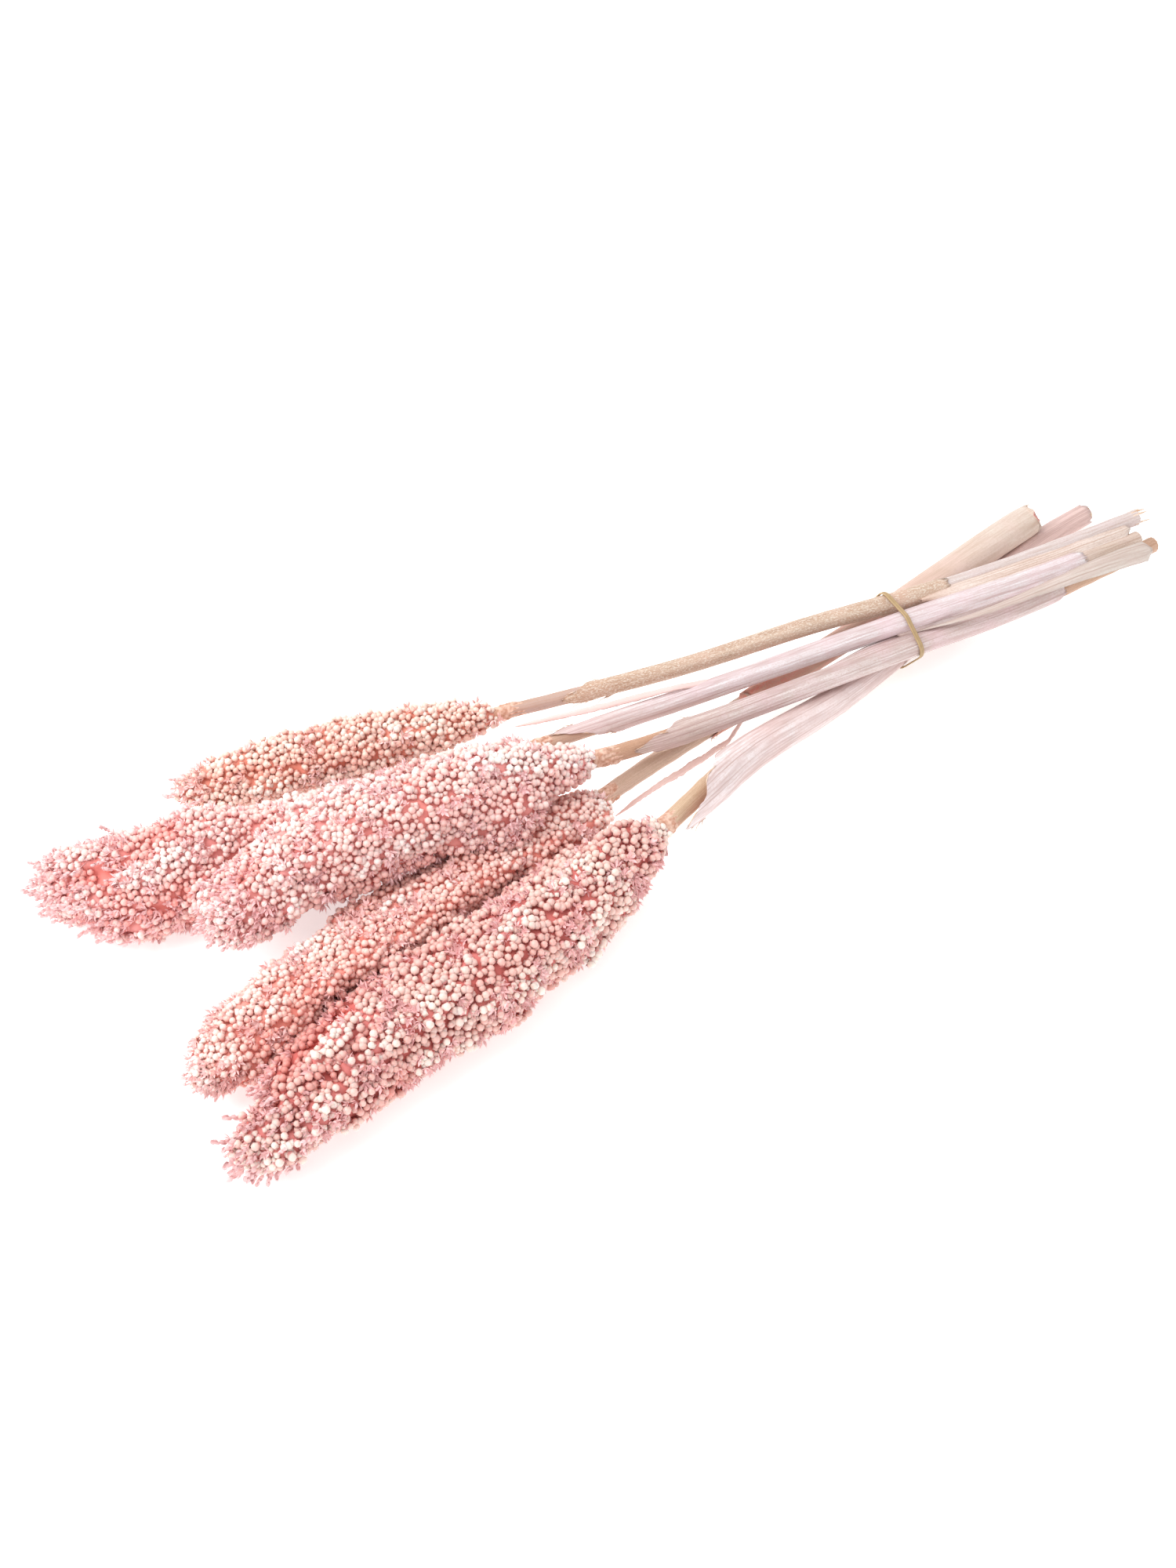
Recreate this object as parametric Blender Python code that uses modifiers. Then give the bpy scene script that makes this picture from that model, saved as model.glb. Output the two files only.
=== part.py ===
"""A tied bunch of five dried sorghum seed heads, lying on a table.

Five stems lie side by side and on top of each other, heads at -X and cut ends at +X. Each stem is
a seed head, a stalk and the leaf sheath that wraps the stalk. Strips of leaf lie between the
stems, and one rubber band holds them all. Lengths are given in millimetres and built in metres.
"""

import math
from collections import namedtuple

import bmesh
import bpy
from mathutils import Vector
from mathutils.bvhtree import BVHTree

MM = 0.001

# Clearance between two pieces that touch on the real bunch.
GAP = 0.3
# How far a soft head stays from the harder pressed one that dents it.
DENT_CLEARANCE = 1.9
# Where the band crosses the stems, its width and its thickness.
TIE_X = 195.0
BAND_WIDTH = 2.8
BAND_THICKNESS = 0.9
# Dried leaf sheaths and loose strips of leaf.
SHEATH_CLEARANCE = 0.6
SHEATH_THICKNESS = 0.7
STRIP_THICKNESS = 0.8

# How round a head is: the exponents of its swelling from the neck and of its closing at the tip.
SWELLING = 2.2
SWELLING_SOFTNESS = 0.6
CLOSING = 2.4
# The lobes its branches make, as shares of its radius, and how many of them go round it.
LONG_LOBE, LONG_LOBES = 0.05, 5
BROAD_LOBE, BROAD_LOBES = 0.035, 3
BUNCHED_LOBE, BUNCHED_LOBES = 0.045, 2
# How far the lobes wind round a head, in radians, and how its bunches repeat along it.
WINDING = 1.1
BUNCHING = 9.0
# Heads differ in how their lobes are set, by this many radians from one to the next.
LOBE_SETTING = 0.7
# The neck of a head is never dented.
UNDENTED_NECK = 0.02
DENT_STEPS = 60
DENT_STEP = 0.03
DENT_SMOOTHINGS = 3
DENT_SMOOTHING = 0.5

# The swollen ring at a node of a stalk.
NODE_SWELL = 1.0
NODE_WIDTH = 3.5
NODE_OFFSETS = (-5, -2.5, 0, 2.5, 5)
NODE_CLEAR = 9

# A sheath's torn point has this share of its full wrap, and widens by this exponent.
TORN_POINT = 0.10
TORN_WIDENING = 0.7
# A loose sheath hangs to its own side by this share of its looseness.
SAG = 0.7
# Rows of a sheath stand closer together at its torn point.
ROW_CROWDING = 1.15

# Mesh fineness.
ROUTE_STEPS = 400
ROUTE_PLACES = 300
HEAD_SEGMENTS = 22
HEAD_RINGS = 25
STALK_POINTS = 22
SHEATH_ROWS = 18
SHEATH_COLUMNS = 9
STRIP_ROWS = 12
STRIP_COLUMNS = 5
STRIP_PLACES = 96
BAND_STEPS = 56
WELD = 0.00001

# Each route starts at the tip of the head and ends at the cut end. The head ends at the neck.
Stem = namedtuple("Stem", "head stalk belly full neck blunt flat stalk_radius end_radius node_x")
STEMS = {
    1: Stem(
        head=((-194, 100, 19), (-142, 83, 25), (-77, 60, 31), (-26, 42, 34)),
        stalk=((68, 16, 36), (149, 0, 38), (207, -13, 38), (289, -24, 36), (369, -31, 34)),
        belly=19.0, full=0.60, neck=4.5, blunt=0.50, flat=1.0,
        stalk_radius=3.7, end_radius=4.6, node_x=None,
    ),
    2: Stem(
        head=((-282, 89, 23), (-241, 54, 26), (-146, 23, 26), (-59, 14, 30), (-26, 11, 33)),
        stalk=((53, -4, 35), (137, -17, 36), (207, -26, 35), (280, -36, 33), (362, -41, 28)),
        belly=28.5, full=0.70, neck=5.0, blunt=0.48, flat=1.0,
        stalk_radius=3.9, end_radius=4.3, node_x=322,
    ),
    3: Stem(
        head=((-229, -2, 33), (-182, -9, 53), (-106, -21, 60), (-41, -24, 53), (-13, -26, 47)),
        stalk=((34, -30, 41), (123, -34, 33), (207, -36, 24), (275, -41, 20), (380, -39, 14)),
        belly=24.5, full=0.62, neck=5.5, blunt=0.38, flat=1.0,
        stalk_radius=4.4, end_radius=4.6, node_x=None,
    ),
    4: Stem(
        head=((-279, -74, 21), (-240, -68, 24), (-188, -62, 24), (-97, -50, 24), (-18, -36, 28)),
        stalk=((37, -27, 27), (90, -17, 22), (135, -9, 20), (207, -2, 22), (289, 11, 21), (334, 19, 18)),
        belly=30.0, full=0.62, neck=5.5, blunt=0.42, flat=0.84,
        stalk_radius=4.5, end_radius=7.0, node_x=None,
    ),
    5: Stem(
        head=((-273, -130, 13), (-230, -110, 24), (-165, -102, 26), (-85, -91, 28), (-5, -74, 33)),
        stalk=((61, -52, 27), (133, -39, 17), (207, -22, 11), (324, 6, 7.3), (376, 11, 7.2)),
        belly=28.5, full=0.48, neck=6.5, blunt=0.44, flat=1.0,
        stalk_radius=5.0, end_radius=5.2, node_x=None,
    ),
}
# The head that lies on top keeps its shape, and the ones below give way to it.
PRESSING_ORDER = (3, 5, 2, 4, 1)

# A sheath starts in a torn point at the head's side. turn is where its middle faces, in degrees
# from straight up round towards -Y, and wrap is how far it reaches round the stalk. A loose sheath
# stands off the stalk by this much at its start and at its end.
Sheath = namedtuple("Sheath", "start end tongue turn wrap loose_start loose_end")
SHEATHS = {
    1: Sheath(start=10, end=236, tongue=26, turn=25, wrap=300, loose_start=0.3, loose_end=0.4),
    2: Sheath(start=-8, end=319, tongue=34, turn=60, wrap=310, loose_start=0.6, loose_end=0.9),
    3: Sheath(start=12, end=302, tongue=30, turn=40, wrap=310, loose_start=0.7, loose_end=0.5),
    4: Sheath(start=62, end=333, tongue=40, turn=-150, wrap=290, loose_start=0.7, loose_end=0.5),
    5: Sheath(start=0, end=375, tongue=52, turn=50, wrap=230, loose_start=5.6, loose_end=0.4),
}

# Loose leaf: a route, the half width at each of its points, the way its face looks at its start
# and at its end, and how far it arches across its width.
Strip = namedtuple("Strip", "route half_widths turn_start turn_end arch")
STRIPS = {
    "leaf_offcut": Strip(
        route=(
            (178, -29, 30),
            (195, -30, 30),
            (212, -35, 31),
            (240, -44, 34),
            (313, -50, 33),
            (362, -54, 30),
        ),
        half_widths=(1.2, 1.5, 2.2, 3.2, 4.6, 5.2), turn_start=-42, turn_end=50, arch=0.45,
    ),
    "leaf_wisp_2": Strip(
        route=((-30, 28, 36), (13, 10, 41), (56, -3, 43)),
        half_widths=(0.9, 1.7, 1.5), turn_start=40, turn_end=20, arch=0.1,
    ),
    "leaf_wisp_4": Strip(
        route=((-10, -37, 11), (16, -37, 18), (38, -36, 19), (70, -33, 21)),
        half_widths=(0.9, 1.5, 2.0, 1.2), turn_start=40, turn_end=60, arch=0.1,
    ),
}

# Linear colours with the roughness of each finish.
GRAIN = ((0.86, 0.62, 0.55), 0.62)
STALK = ((0.60, 0.42, 0.29), 0.58)
SHEATH = ((0.80, 0.60, 0.54), 0.66)
RUBBER = ((0.36, 0.25, 0.13), 0.52)


def clear_scene():
    for item in list(bpy.data.objects):
        bpy.data.objects.remove(item)


def finish_material(name, finish):
    """A plain Principled material with this colour and roughness."""
    colour, roughness = finish
    made = bpy.data.materials.new(name)
    made.use_nodes = True
    shader = made.node_tree.nodes["Principled BSDF"]
    shader.inputs["Base Color"].default_value = (*colour, 1.0)
    shader.inputs["Roughness"].default_value = roughness
    shader.inputs["Metallic"].default_value = 0.0
    return made


def add_object(name, data, collection, material):
    made = bpy.data.objects.new(name, data)
    data.materials.append(material)
    collection.objects.link(made)
    return made


def smooth_points(points, count):
    """count places, evenly spread, on a Catmull-Rom curve through the points."""
    known = [Vector(point) for point in points]
    known = [2 * known[0] - known[1], *known, 2 * known[-1] - known[-2]]
    spans = len(known) - 3
    places = []
    for step in range(count):
        along = spans * step / (count - 1)
        span = min(int(along), spans - 1)
        u = along - span
        a, b, c, d = known[span : span + 4]
        places.append(
            0.5 * (2 * b + (c - a) * u + (2 * a - 5 * b + 4 * c - d) * u * u
                   + (3 * b - a - 3 * c + d) * u ** 3)
        )
    return places


def even_route(points, count):
    """The same curve with its places an equal distance apart."""
    fine = smooth_points(points, ROUTE_STEPS)
    lengths = [0.0]
    for before, after in zip(fine, fine[1:]):
        lengths.append(lengths[-1] + (after - before).length)
    places, at = [], 0
    for step in range(count):
        wanted = lengths[-1] * step / (count - 1)
        while at < len(fine) - 2 and lengths[at + 1] < wanted:
            at += 1
        share = (wanted - lengths[at]) / (lengths[at + 1] - lengths[at])
        places.append(fine[at].lerp(fine[at + 1], min(share, 1.0)))
    return places


def whole_route(stem):
    return even_route((*stem.head, *stem.stalk), ROUTE_PLACES)


def head_route(stem):
    """From the neck to the tip."""
    neck = stem.head[-1][0]
    return [place for place in reversed(whole_route(stem)) if place.x <= neck]


def stalk_route(stem):
    neck = stem.head[-1][0]
    return [place for place in whole_route(stem) if place.x > neck + GAP]


def place_on(route, share):
    """Place and direction at this share of a finely spaced route."""
    along = share * (len(route) - 1)
    at = min(int(along), len(route) - 2)
    return route[at].lerp(route[at + 1], along - at), (route[at + 1] - route[at]).normalized()


def sides_of(direction):
    """Two unit vectors across a direction: the one most nearly upright, and a level one."""
    upright = (Vector((0, 0, 1)) - direction * direction.z).normalized()
    return upright, direction.cross(upright)


def plump(share, stem):
    """Radius of a head before its lobes: the neck at 0, the fullest place at full, a blunt tip."""
    if share > stem.full:
        past = (share - stem.full) / (1 - stem.full)
        return stem.belly * (1 - past ** CLOSING) ** stem.blunt
    rise = 1 - (1 - share / stem.full) ** SWELLING
    return stem.neck + (stem.belly - stem.neck) * rise ** SWELLING_SOFTNESS


def lobes(number, share, angle):
    """Branches gathered in long lobes that wind a little towards the tip."""
    wind = WINDING * share + LOBE_SETTING * number
    long_lobes = LONG_LOBE * math.cos(LONG_LOBES * (angle + wind))
    broad_lobes = BROAD_LOBE * math.cos(BROAD_LOBES * (angle - wind) + number)
    bunches = BUNCHED_LOBE * math.cos(BUNCHED_LOBES * angle + number)
    bunches *= math.cos(BUNCHING * share + number)
    fade = math.sqrt(math.sin(math.pi * share))
    return 1 + fade * (long_lobes + broad_lobes + bunches)


def pressed(place, centre, others):
    """Moves a point of a soft head towards its own centre until it clears the others."""
    for tree in others:
        for _ in range(DENT_STEPS):
            found, normal, _, _ = tree.find_nearest(place)
            if (place - found).dot(normal) >= DENT_CLEARANCE:
                break
            place = place.lerp(centre, DENT_STEP)
    return place


def make_head(number, stem, others):
    """A sphere drawn out along the head's route, then dented by the heads that lie against it."""
    route = head_route(stem)
    mesh = bmesh.new()
    bmesh.ops.create_uvsphere(
        mesh, u_segments=HEAD_SEGMENTS, v_segments=HEAD_RINGS, radius=1.0
    )
    end_face = 1.0 / HEAD_RINGS
    dented = []
    for vertex in mesh.verts:
        latitude = math.acos(max(-1.0, min(1.0, -vertex.co.z))) / math.pi
        share = max(0.0, (latitude - end_face) / (1 - end_face))
        centre, direction = place_on(route, share)
        upright, level = sides_of(direction)
        angle = math.atan2(vertex.co.y, vertex.co.x)
        radius = plump(share, stem) * lobes(number, share, angle)
        if latitude < end_face / 2:
            radius = 0.0
        across = upright * math.sin(angle) * stem.flat + level * math.cos(angle)
        place = centre + across * radius
        if share > UNDENTED_NECK:
            clear = pressed(place, centre, others)
            if clear != place:
                dented.append(vertex)
            place = clear
        place.z = max(place.z, 0.0)
        vertex.co = place
    for _ in range(DENT_SMOOTHINGS):
        bmesh.ops.smooth_vert(
            mesh, verts=dented, factor=DENT_SMOOTHING,
            use_axis_x=True, use_axis_y=True, use_axis_z=True,
        )
    mesh.normal_update()
    bmesh.ops.recalc_face_normals(mesh, faces=mesh.faces)
    return mesh


def to_metres(mesh, name):
    bmesh.ops.scale(mesh, verts=mesh.verts, vec=(MM, MM, MM))
    data = bpy.data.meshes.new(name)
    mesh.to_mesh(data)
    mesh.free()
    data.shade_smooth()
    return data


def stalk_radius(stem, place):
    """Slightly thicker towards the cut end, with a swollen ring at a node."""
    neck = stem.head[-1][0]
    share = (place.x - neck) / (stem.stalk[-1][0] - neck)
    radius = stem.stalk_radius + (stem.end_radius - stem.stalk_radius) * share
    if stem.node_x is not None:
        radius += NODE_SWELL * math.exp(-(((place.x - stem.node_x) / NODE_WIDTH) ** 2))
    return radius


def make_stalk(number, stem, collection, material):
    """A round tube along the stalk's route with closed ends."""
    route = stalk_route(stem)
    places = [place_on(route, step / (STALK_POINTS - 1))[0] for step in range(STALK_POINTS)]
    if stem.node_x is not None:
        stations = [stem.node_x + offset for offset in NODE_OFFSETS]
        near = [min(route, key=lambda p, x=x: abs(p.x - x)) for x in stations]
        places = [p for p in places if abs(p.x - stem.node_x) > NODE_CLEAR] + near
        places.sort(key=lambda p: p.x)
    curve = bpy.data.curves.new(f"stalk_{number}", "CURVE")
    curve.dimensions = "3D"
    curve.bevel_depth = MM
    curve.bevel_resolution = 2
    curve.use_fill_caps = True
    spline = curve.splines.new("POLY")
    spline.points.add(len(places) - 1)
    for point, place in zip(spline.points, places):
        point.co = (*(place * MM), 1.0)
        point.radius = stalk_radius(stem, place)
    return add_object(f"stalk_{number}", curve, collection, material)


def ribbon(rows):
    """An open surface through rows of places, each with as many places as the next."""
    mesh = bmesh.new()
    grid = [[mesh.verts.new(place * MM) for place in row] for row in rows]
    for lower, upper in zip(grid, grid[1:]):
        for column in range(len(lower) - 1):
            mesh.faces.new(
                (lower[column], lower[column + 1], upper[column + 1], upper[column])
            )
    return mesh


def thicken(made, thickness):
    """Gives an open surface its thickness, all of it on the outer side."""
    wall = made.modifiers.new("wall", "SOLIDIFY")
    wall.thickness = thickness * MM
    wall.offset = 1.0
    wall.use_even_offset = False


def looseness(sheath, place):
    """How far the sheath stands off its stalk here: it fits closer from the tie on."""
    share = min(1.0, (place.x - sheath.start) / (TIE_X - sheath.start))
    return sheath.loose_start + (sheath.loose_end - sheath.loose_start) * share


def make_sheath(number, stem, sheath, collection, material):
    """A leaf sheath round the stalk, open along one side, with a torn pointed top."""
    inside = [p for p in stalk_route(stem) if sheath.start <= p.x <= sheath.end]
    rows = []
    for row in range(SHEATH_ROWS):
        share = row / (SHEATH_ROWS - 1)
        place, direction = place_on(inside, share ** ROW_CROWDING)
        upright, level = sides_of(direction)
        reach = min(1.0, (place.x - sheath.start) / sheath.tongue)
        wrap = math.radians(sheath.wrap)
        wrap *= TORN_POINT + (1 - TORN_POINT) * reach ** TORN_WIDENING
        loose = looseness(sheath, place)
        radius = stalk_radius(stem, place) + SHEATH_CLEARANCE + loose
        turn = math.radians(sheath.turn)
        middle = place + (upright * math.cos(turn) + level * math.sin(turn)) * loose * SAG
        places = []
        for column in range(SHEATH_COLUMNS):
            angle = turn + wrap * (column / (SHEATH_COLUMNS - 1) - 0.5)
            outward = upright * math.cos(angle) + level * math.sin(angle)
            places.append(middle + outward * radius)
        rows.append(places)
    mesh = ribbon(rows)
    data = bpy.data.meshes.new(f"sheath_{number}")
    mesh.to_mesh(data)
    mesh.free()
    data.shade_smooth()
    made = add_object(f"sheath_{number}", data, collection, material)
    thicken(made, SHEATH_THICKNESS)
    return made


def make_strip(name, strip, collection, material):
    """A loose strip of leaf, arched across its width."""
    rows = []
    route = even_route(strip.route, STRIP_PLACES)
    widths = smooth_points([(width, 0, 0) for width in strip.half_widths], STRIP_ROWS)
    for step, width in enumerate(widths):
        share = step / (STRIP_ROWS - 1)
        place, direction = place_on(route, share)
        upright, level = sides_of(direction)
        turn = math.radians(strip.turn_start + (strip.turn_end - strip.turn_start) * share)
        face = upright * math.cos(turn) + level * math.sin(turn)
        across = level * math.cos(turn) - upright * math.sin(turn)
        row = []
        for column in range(STRIP_COLUMNS):
            side = 2 * column / (STRIP_COLUMNS - 1) - 1
            lift = strip.arch * share * width.x * (1 - side * side)
            row.append(place + across * side * width.x + face * lift)
        rows.append(row)
    mesh = ribbon(rows)
    data = bpy.data.meshes.new(name)
    mesh.to_mesh(data)
    mesh.free()
    data.shade_smooth()
    made = add_object(name, data, collection, material)
    thicken(made, STRIP_THICKNESS)
    return made


def rounds_at_tie():
    """Centre and outer radius of each wrapped stalk where the band crosses it."""
    rounds = []
    for number, stem in STEMS.items():
        route = stalk_route(stem)
        place = min(route, key=lambda p: abs(p.x - TIE_X))
        sheath = SHEATHS[number]
        standing_off = SHEATH_CLEARANCE + looseness(sheath, place) + SHEATH_THICKNESS
        rounds.append((place, stalk_radius(stem, place) + standing_off))
    return rounds


def make_band(collection, material):
    """A flat rubber band pulled tight round the stems at TIE_X."""
    rounds = rounds_at_tie()
    near, far = [], []
    for step in range(BAND_STEPS):
        angle = 2 * math.pi * step / BAND_STEPS
        outward = Vector((0, math.cos(angle), math.sin(angle)))
        centre, radius = max(rounds, key=lambda item: item[0].dot(outward) + item[1])
        place = centre + outward * (radius + 2 * GAP)
        near.append(Vector((TIE_X - BAND_WIDTH / 2, place.y, place.z)))
        far.append(Vector((TIE_X + BAND_WIDTH / 2, place.y, place.z)))
    mesh = ribbon([near + near[:1], far + far[:1]])
    bmesh.ops.remove_doubles(mesh, verts=mesh.verts, dist=WELD)
    bmesh.ops.recalc_face_normals(mesh, faces=mesh.faces)
    data = bpy.data.meshes.new("rubber_band")
    mesh.to_mesh(data)
    mesh.free()
    data.shade_smooth()
    made = add_object("rubber_band", data, collection, material)
    thicken(made, BAND_THICKNESS)
    return made


def stand_on_origin(collection):
    """Moves every piece so that the bunch's box is centred over the origin, on the table."""
    bpy.context.view_layer.update()
    graph = bpy.context.evaluated_depsgraph_get()
    places = []
    for item in collection.objects:
        evaluated = item.evaluated_get(graph)
        places += [vertex.co.copy() for vertex in evaluated.to_mesh().vertices]
        evaluated.to_mesh_clear()
    lowest = min(place.z for place in places)
    middle_x = (min(place.x for place in places) + max(place.x for place in places)) / 2
    middle_y = (min(place.y for place in places) + max(place.y for place in places)) / 2
    print(f"the bunch moves by {-middle_x:.5f} {-middle_y:.5f} {-lowest:.5f} m")
    for item in collection.objects:
        item.location = (-middle_x, -middle_y, -lowest)


def main():
    clear_scene()
    bunch = bpy.data.collections.new("sorghum_bunch")
    bpy.context.scene.collection.children.link(bunch)
    grain = finish_material("seed_heads", GRAIN)
    straw = finish_material("stalks", STALK)
    leaf = finish_material("leaf", SHEATH)
    rubber = finish_material("rubber", RUBBER)

    trees = []
    for number in PRESSING_ORDER:
        mesh = make_head(number, STEMS[number], trees)
        trees.append(BVHTree.FromBMesh(mesh))
        add_object(f"head_{number}", to_metres(mesh, f"head_{number}"), bunch, grain)
    for number, stem in STEMS.items():
        make_stalk(number, stem, bunch, straw)
        make_sheath(number, stem, SHEATHS[number], bunch, leaf)
    for name, strip in STRIPS.items():
        make_strip(name, strip, bunch, leaf)
    make_band(bunch, rubber)
    stand_on_origin(bunch)


main()
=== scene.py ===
import math

import bmesh
import bpy
import numpy as np
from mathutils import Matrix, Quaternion, Vector, noise
from mathutils.bvhtree import BVHTree


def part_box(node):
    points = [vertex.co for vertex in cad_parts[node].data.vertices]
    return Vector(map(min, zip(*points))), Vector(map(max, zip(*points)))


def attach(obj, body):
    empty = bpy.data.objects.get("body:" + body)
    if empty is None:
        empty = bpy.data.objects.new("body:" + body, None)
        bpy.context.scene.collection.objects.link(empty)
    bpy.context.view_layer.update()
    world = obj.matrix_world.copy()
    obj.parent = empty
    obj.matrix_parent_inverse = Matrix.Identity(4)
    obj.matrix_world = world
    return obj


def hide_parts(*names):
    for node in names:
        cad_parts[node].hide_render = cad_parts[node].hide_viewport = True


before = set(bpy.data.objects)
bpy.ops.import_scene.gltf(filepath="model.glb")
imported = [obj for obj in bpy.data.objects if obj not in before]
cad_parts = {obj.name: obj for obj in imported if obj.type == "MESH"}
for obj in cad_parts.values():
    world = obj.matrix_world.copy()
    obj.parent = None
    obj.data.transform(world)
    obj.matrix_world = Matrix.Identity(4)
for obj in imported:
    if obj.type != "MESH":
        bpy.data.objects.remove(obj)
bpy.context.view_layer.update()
scene = bpy.context.scene
MM = 0.001
print("the frame holds", len(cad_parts), "nodes")

# %% [markdown]
# The camera
#
# The bunch is seen from above, at 45 degrees, from the side of its nearest head. The camera aims
# at the point of the table that lies at the picture's centre. Its lens is a short telephoto one,
# which keeps the far stems nearly as large as the near ones.
# %% The camera
AIM = Vector((-0.04744, 0.01511, 0.0))
CAMERA_AZIMUTH = math.radians(-35)
CAMERA_ELEVATION = math.radians(45)
CAMERA_DISTANCE = 1.176
LENS = 50.4

camera_back = Vector((
    math.sin(CAMERA_AZIMUTH) * math.cos(CAMERA_ELEVATION),
    -math.cos(CAMERA_AZIMUTH) * math.cos(CAMERA_ELEVATION),
    math.sin(CAMERA_ELEVATION),
))
camera = bpy.data.objects.new("camera", bpy.data.cameras.new("camera"))
camera.data.lens = LENS
camera.location = AIM + camera_back * CAMERA_DISTANCE
camera.rotation_mode = "QUATERNION"
camera.rotation_quaternion = (-camera_back).to_track_quat("-Z", "Y")
camera.data.clip_start = 0.01
camera.data.clip_end = 50.0
scene.collection.objects.link(camera)
scene.camera = camera
print("the camera stands", round(camera.location.z, 3), "m above the table")

# %% [markdown]
# The light
#
# Dried flowers are shot high-key: a white table, a broad soft light from the upper left and a
# bright room that fills every shadow. A large area light gives the grains their soft round
# shading, and a white world fills the gaps between them, where the light then turns coral.
# %% The table and the light
KEY_SIDE = Vector((-0.75, 0.35, 1.25))
KEY_DISTANCE = 1.9
KEY_SIZE = 2.0
KEY_POWER = 34.0
WORLD_STRENGTH = 0.89
TABLE_GLOW = 0.45


def principled(name, colour=(0.8, 0.8, 0.8), roughness=0.5):
    """A new material with its Principled shader, and its node tree."""
    made = bpy.data.materials.new(name)
    made.use_nodes = True
    shader = made.node_tree.nodes["Principled BSDF"]
    shader.inputs["Base Color"].default_value = (*colour, 1.0)
    shader.inputs["Roughness"].default_value = roughness
    return made, shader, made.node_tree


scene.view_settings.view_transform = "Standard"
world = bpy.data.worlds.new("white room")
scene.world = world
world.use_nodes = True
room = world.node_tree.nodes["Background"]
room.inputs["Color"].default_value = (1.0, 1.0, 1.0, 1.0)
room.inputs["Strength"].default_value = WORLD_STRENGTH

key_light = bpy.data.lights.new("softbox", "AREA")
key_light.shape = "DISK"
key_light.size = KEY_SIZE
key_light.energy = KEY_POWER
key = bpy.data.objects.new("softbox", key_light)
key.location = AIM + KEY_SIDE.normalized() * KEY_DISTANCE
key.rotation_mode = "QUATERNION"
key.rotation_quaternion = (-KEY_SIDE).to_track_quat("-Z", "Y")
scene.collection.objects.link(key)

floor_mesh = bmesh.new()
bmesh.ops.create_grid(floor_mesh, x_segments=1, y_segments=1, size=12.0)
floor_data = bpy.data.meshes.new("table")
floor_mesh.to_mesh(floor_data)
floor_mesh.free()
floor_finish, floor_shader, _ = principled("white table", (0.93, 0.93, 0.93), 0.8)
floor_shader.inputs["Emission Color"].default_value = (1.0, 1.0, 1.0, 1.0)
floor_shader.inputs["Emission Strength"].default_value = TABLE_GLOW
floor_data.materials.append(floor_finish)
table_top = bpy.data.objects.new("table", floor_data)
table_top.location.z = -0.0002
scene.collection.objects.link(table_top)
print("a white table under one softbox", KEY_SIZE, "m across")

# %% [markdown]
# Helpers for meshes
#
# Many small shapes make one big mesh, so their corners and faces are gathered as arrays and made
# a mesh once. A long shape is a row of rings: the frame that carries each ring along the path is
# turned as little as possible from one place to the next, so that the tube doesn't twist.
# %% Helpers for meshes
class Gather:
    """Collects the corners and faces of many shapes."""

    def __init__(self):
        self.corners = []
        self.faces = []
        self.count = 0

    def add(self, corners, faces):
        self.faces.extend([tuple(corner + self.count for corner in face) for face in faces])
        self.corners.extend(corners)
        self.count += len(corners)

    def mesh(self, name):
        data = bpy.data.meshes.new(name)
        data.from_pydata([tuple(corner) for corner in self.corners], [], self.faces)
        data.update()
        return data


def add_piece(name, data, material=None):
    """A new object in the scene, at the origin."""
    made = bpy.data.objects.new(name, data)
    if material is not None:
        data.materials.append(material)
    scene.collection.objects.link(made)
    return made


def baked(made, name):
    """The plain mesh of an object as its modifiers leave it. The object itself is removed."""
    bpy.context.view_layer.update()
    graph = bpy.context.evaluated_depsgraph_get()
    data = bpy.data.meshes.new_from_object(made.evaluated_get(graph))
    data.name = name
    bpy.data.objects.remove(made)
    return data


def path_length(places):
    """The length of a path from place to place."""
    return sum((b - a).length for a, b in zip(places, places[1:]))


def way_round(side, lift, angle):
    """The way out from a path at this angle round it."""
    return side * math.cos(angle) + lift * math.sin(angle)


def frames_along(places):
    """Direction, side and lift at each place of a path, turned as little as possible."""
    places = [Vector(place) for place in places]
    ahead = [(b - a).normalized() for a, b in zip(places, places[1:])]
    directions = [ahead[0]]
    directions += [(a + b).normalized() for a, b in zip(ahead, ahead[1:])]
    directions.append(ahead[-1])
    lift = Vector((0, 0, 1))
    found = []
    for direction in directions:
        lift = (lift - direction * lift.dot(direction)).normalized()
        found.append((direction, direction.cross(lift), lift))
    return found


def grid_faces(rows, columns):
    """The faces of a sheet through rows of corners."""
    faces = []
    for row in range(rows - 1):
        for column in range(columns - 1):
            a = row * columns + column
            faces.append((a, a + 1, a + 1 + columns, a + columns))
    return faces


def ring_faces(rings, around):
    """The faces of a closed body through this many rings of corners."""
    faces = []
    for ring in range(rings - 1):
        for step in range(around):
            a = ring * around + step
            b = ring * around + (step + 1) % around
            faces.append((a, b, b + around, a + around))
    last = (rings - 1) * around
    faces.append(tuple(reversed(range(around))))
    faces.append(tuple(range(last, last + around)))
    return faces


def tube(places, radii, around):
    """Corners and faces of a closed tube through the places."""
    corners = []
    for place, radius, (_, side, lift) in zip(places, radii, frames_along(places)):
        for step in range(around):
            angle = 2 * math.pi * step / around
            corners.append(Vector(place) + way_round(side, lift, angle) * radius)
    return corners, ring_faces(len(places), around)


def ball(segments, rings):
    """Corners and faces of a sphere of radius 1."""
    mesh = bmesh.new()
    bmesh.ops.create_uvsphere(mesh, u_segments=segments, v_segments=rings, radius=1.0)
    mesh.verts.ensure_lookup_table()
    corners = [vertex.co.copy() for vertex in mesh.verts]
    faces = [tuple(vertex.index for vertex in face.verts) for face in mesh.faces]
    mesh.free()
    return corners, faces


def triangles(data):
    """How many triangles a mesh comes to."""
    return sum(len(face.vertices) - 2 for face in data.polygons)


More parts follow.
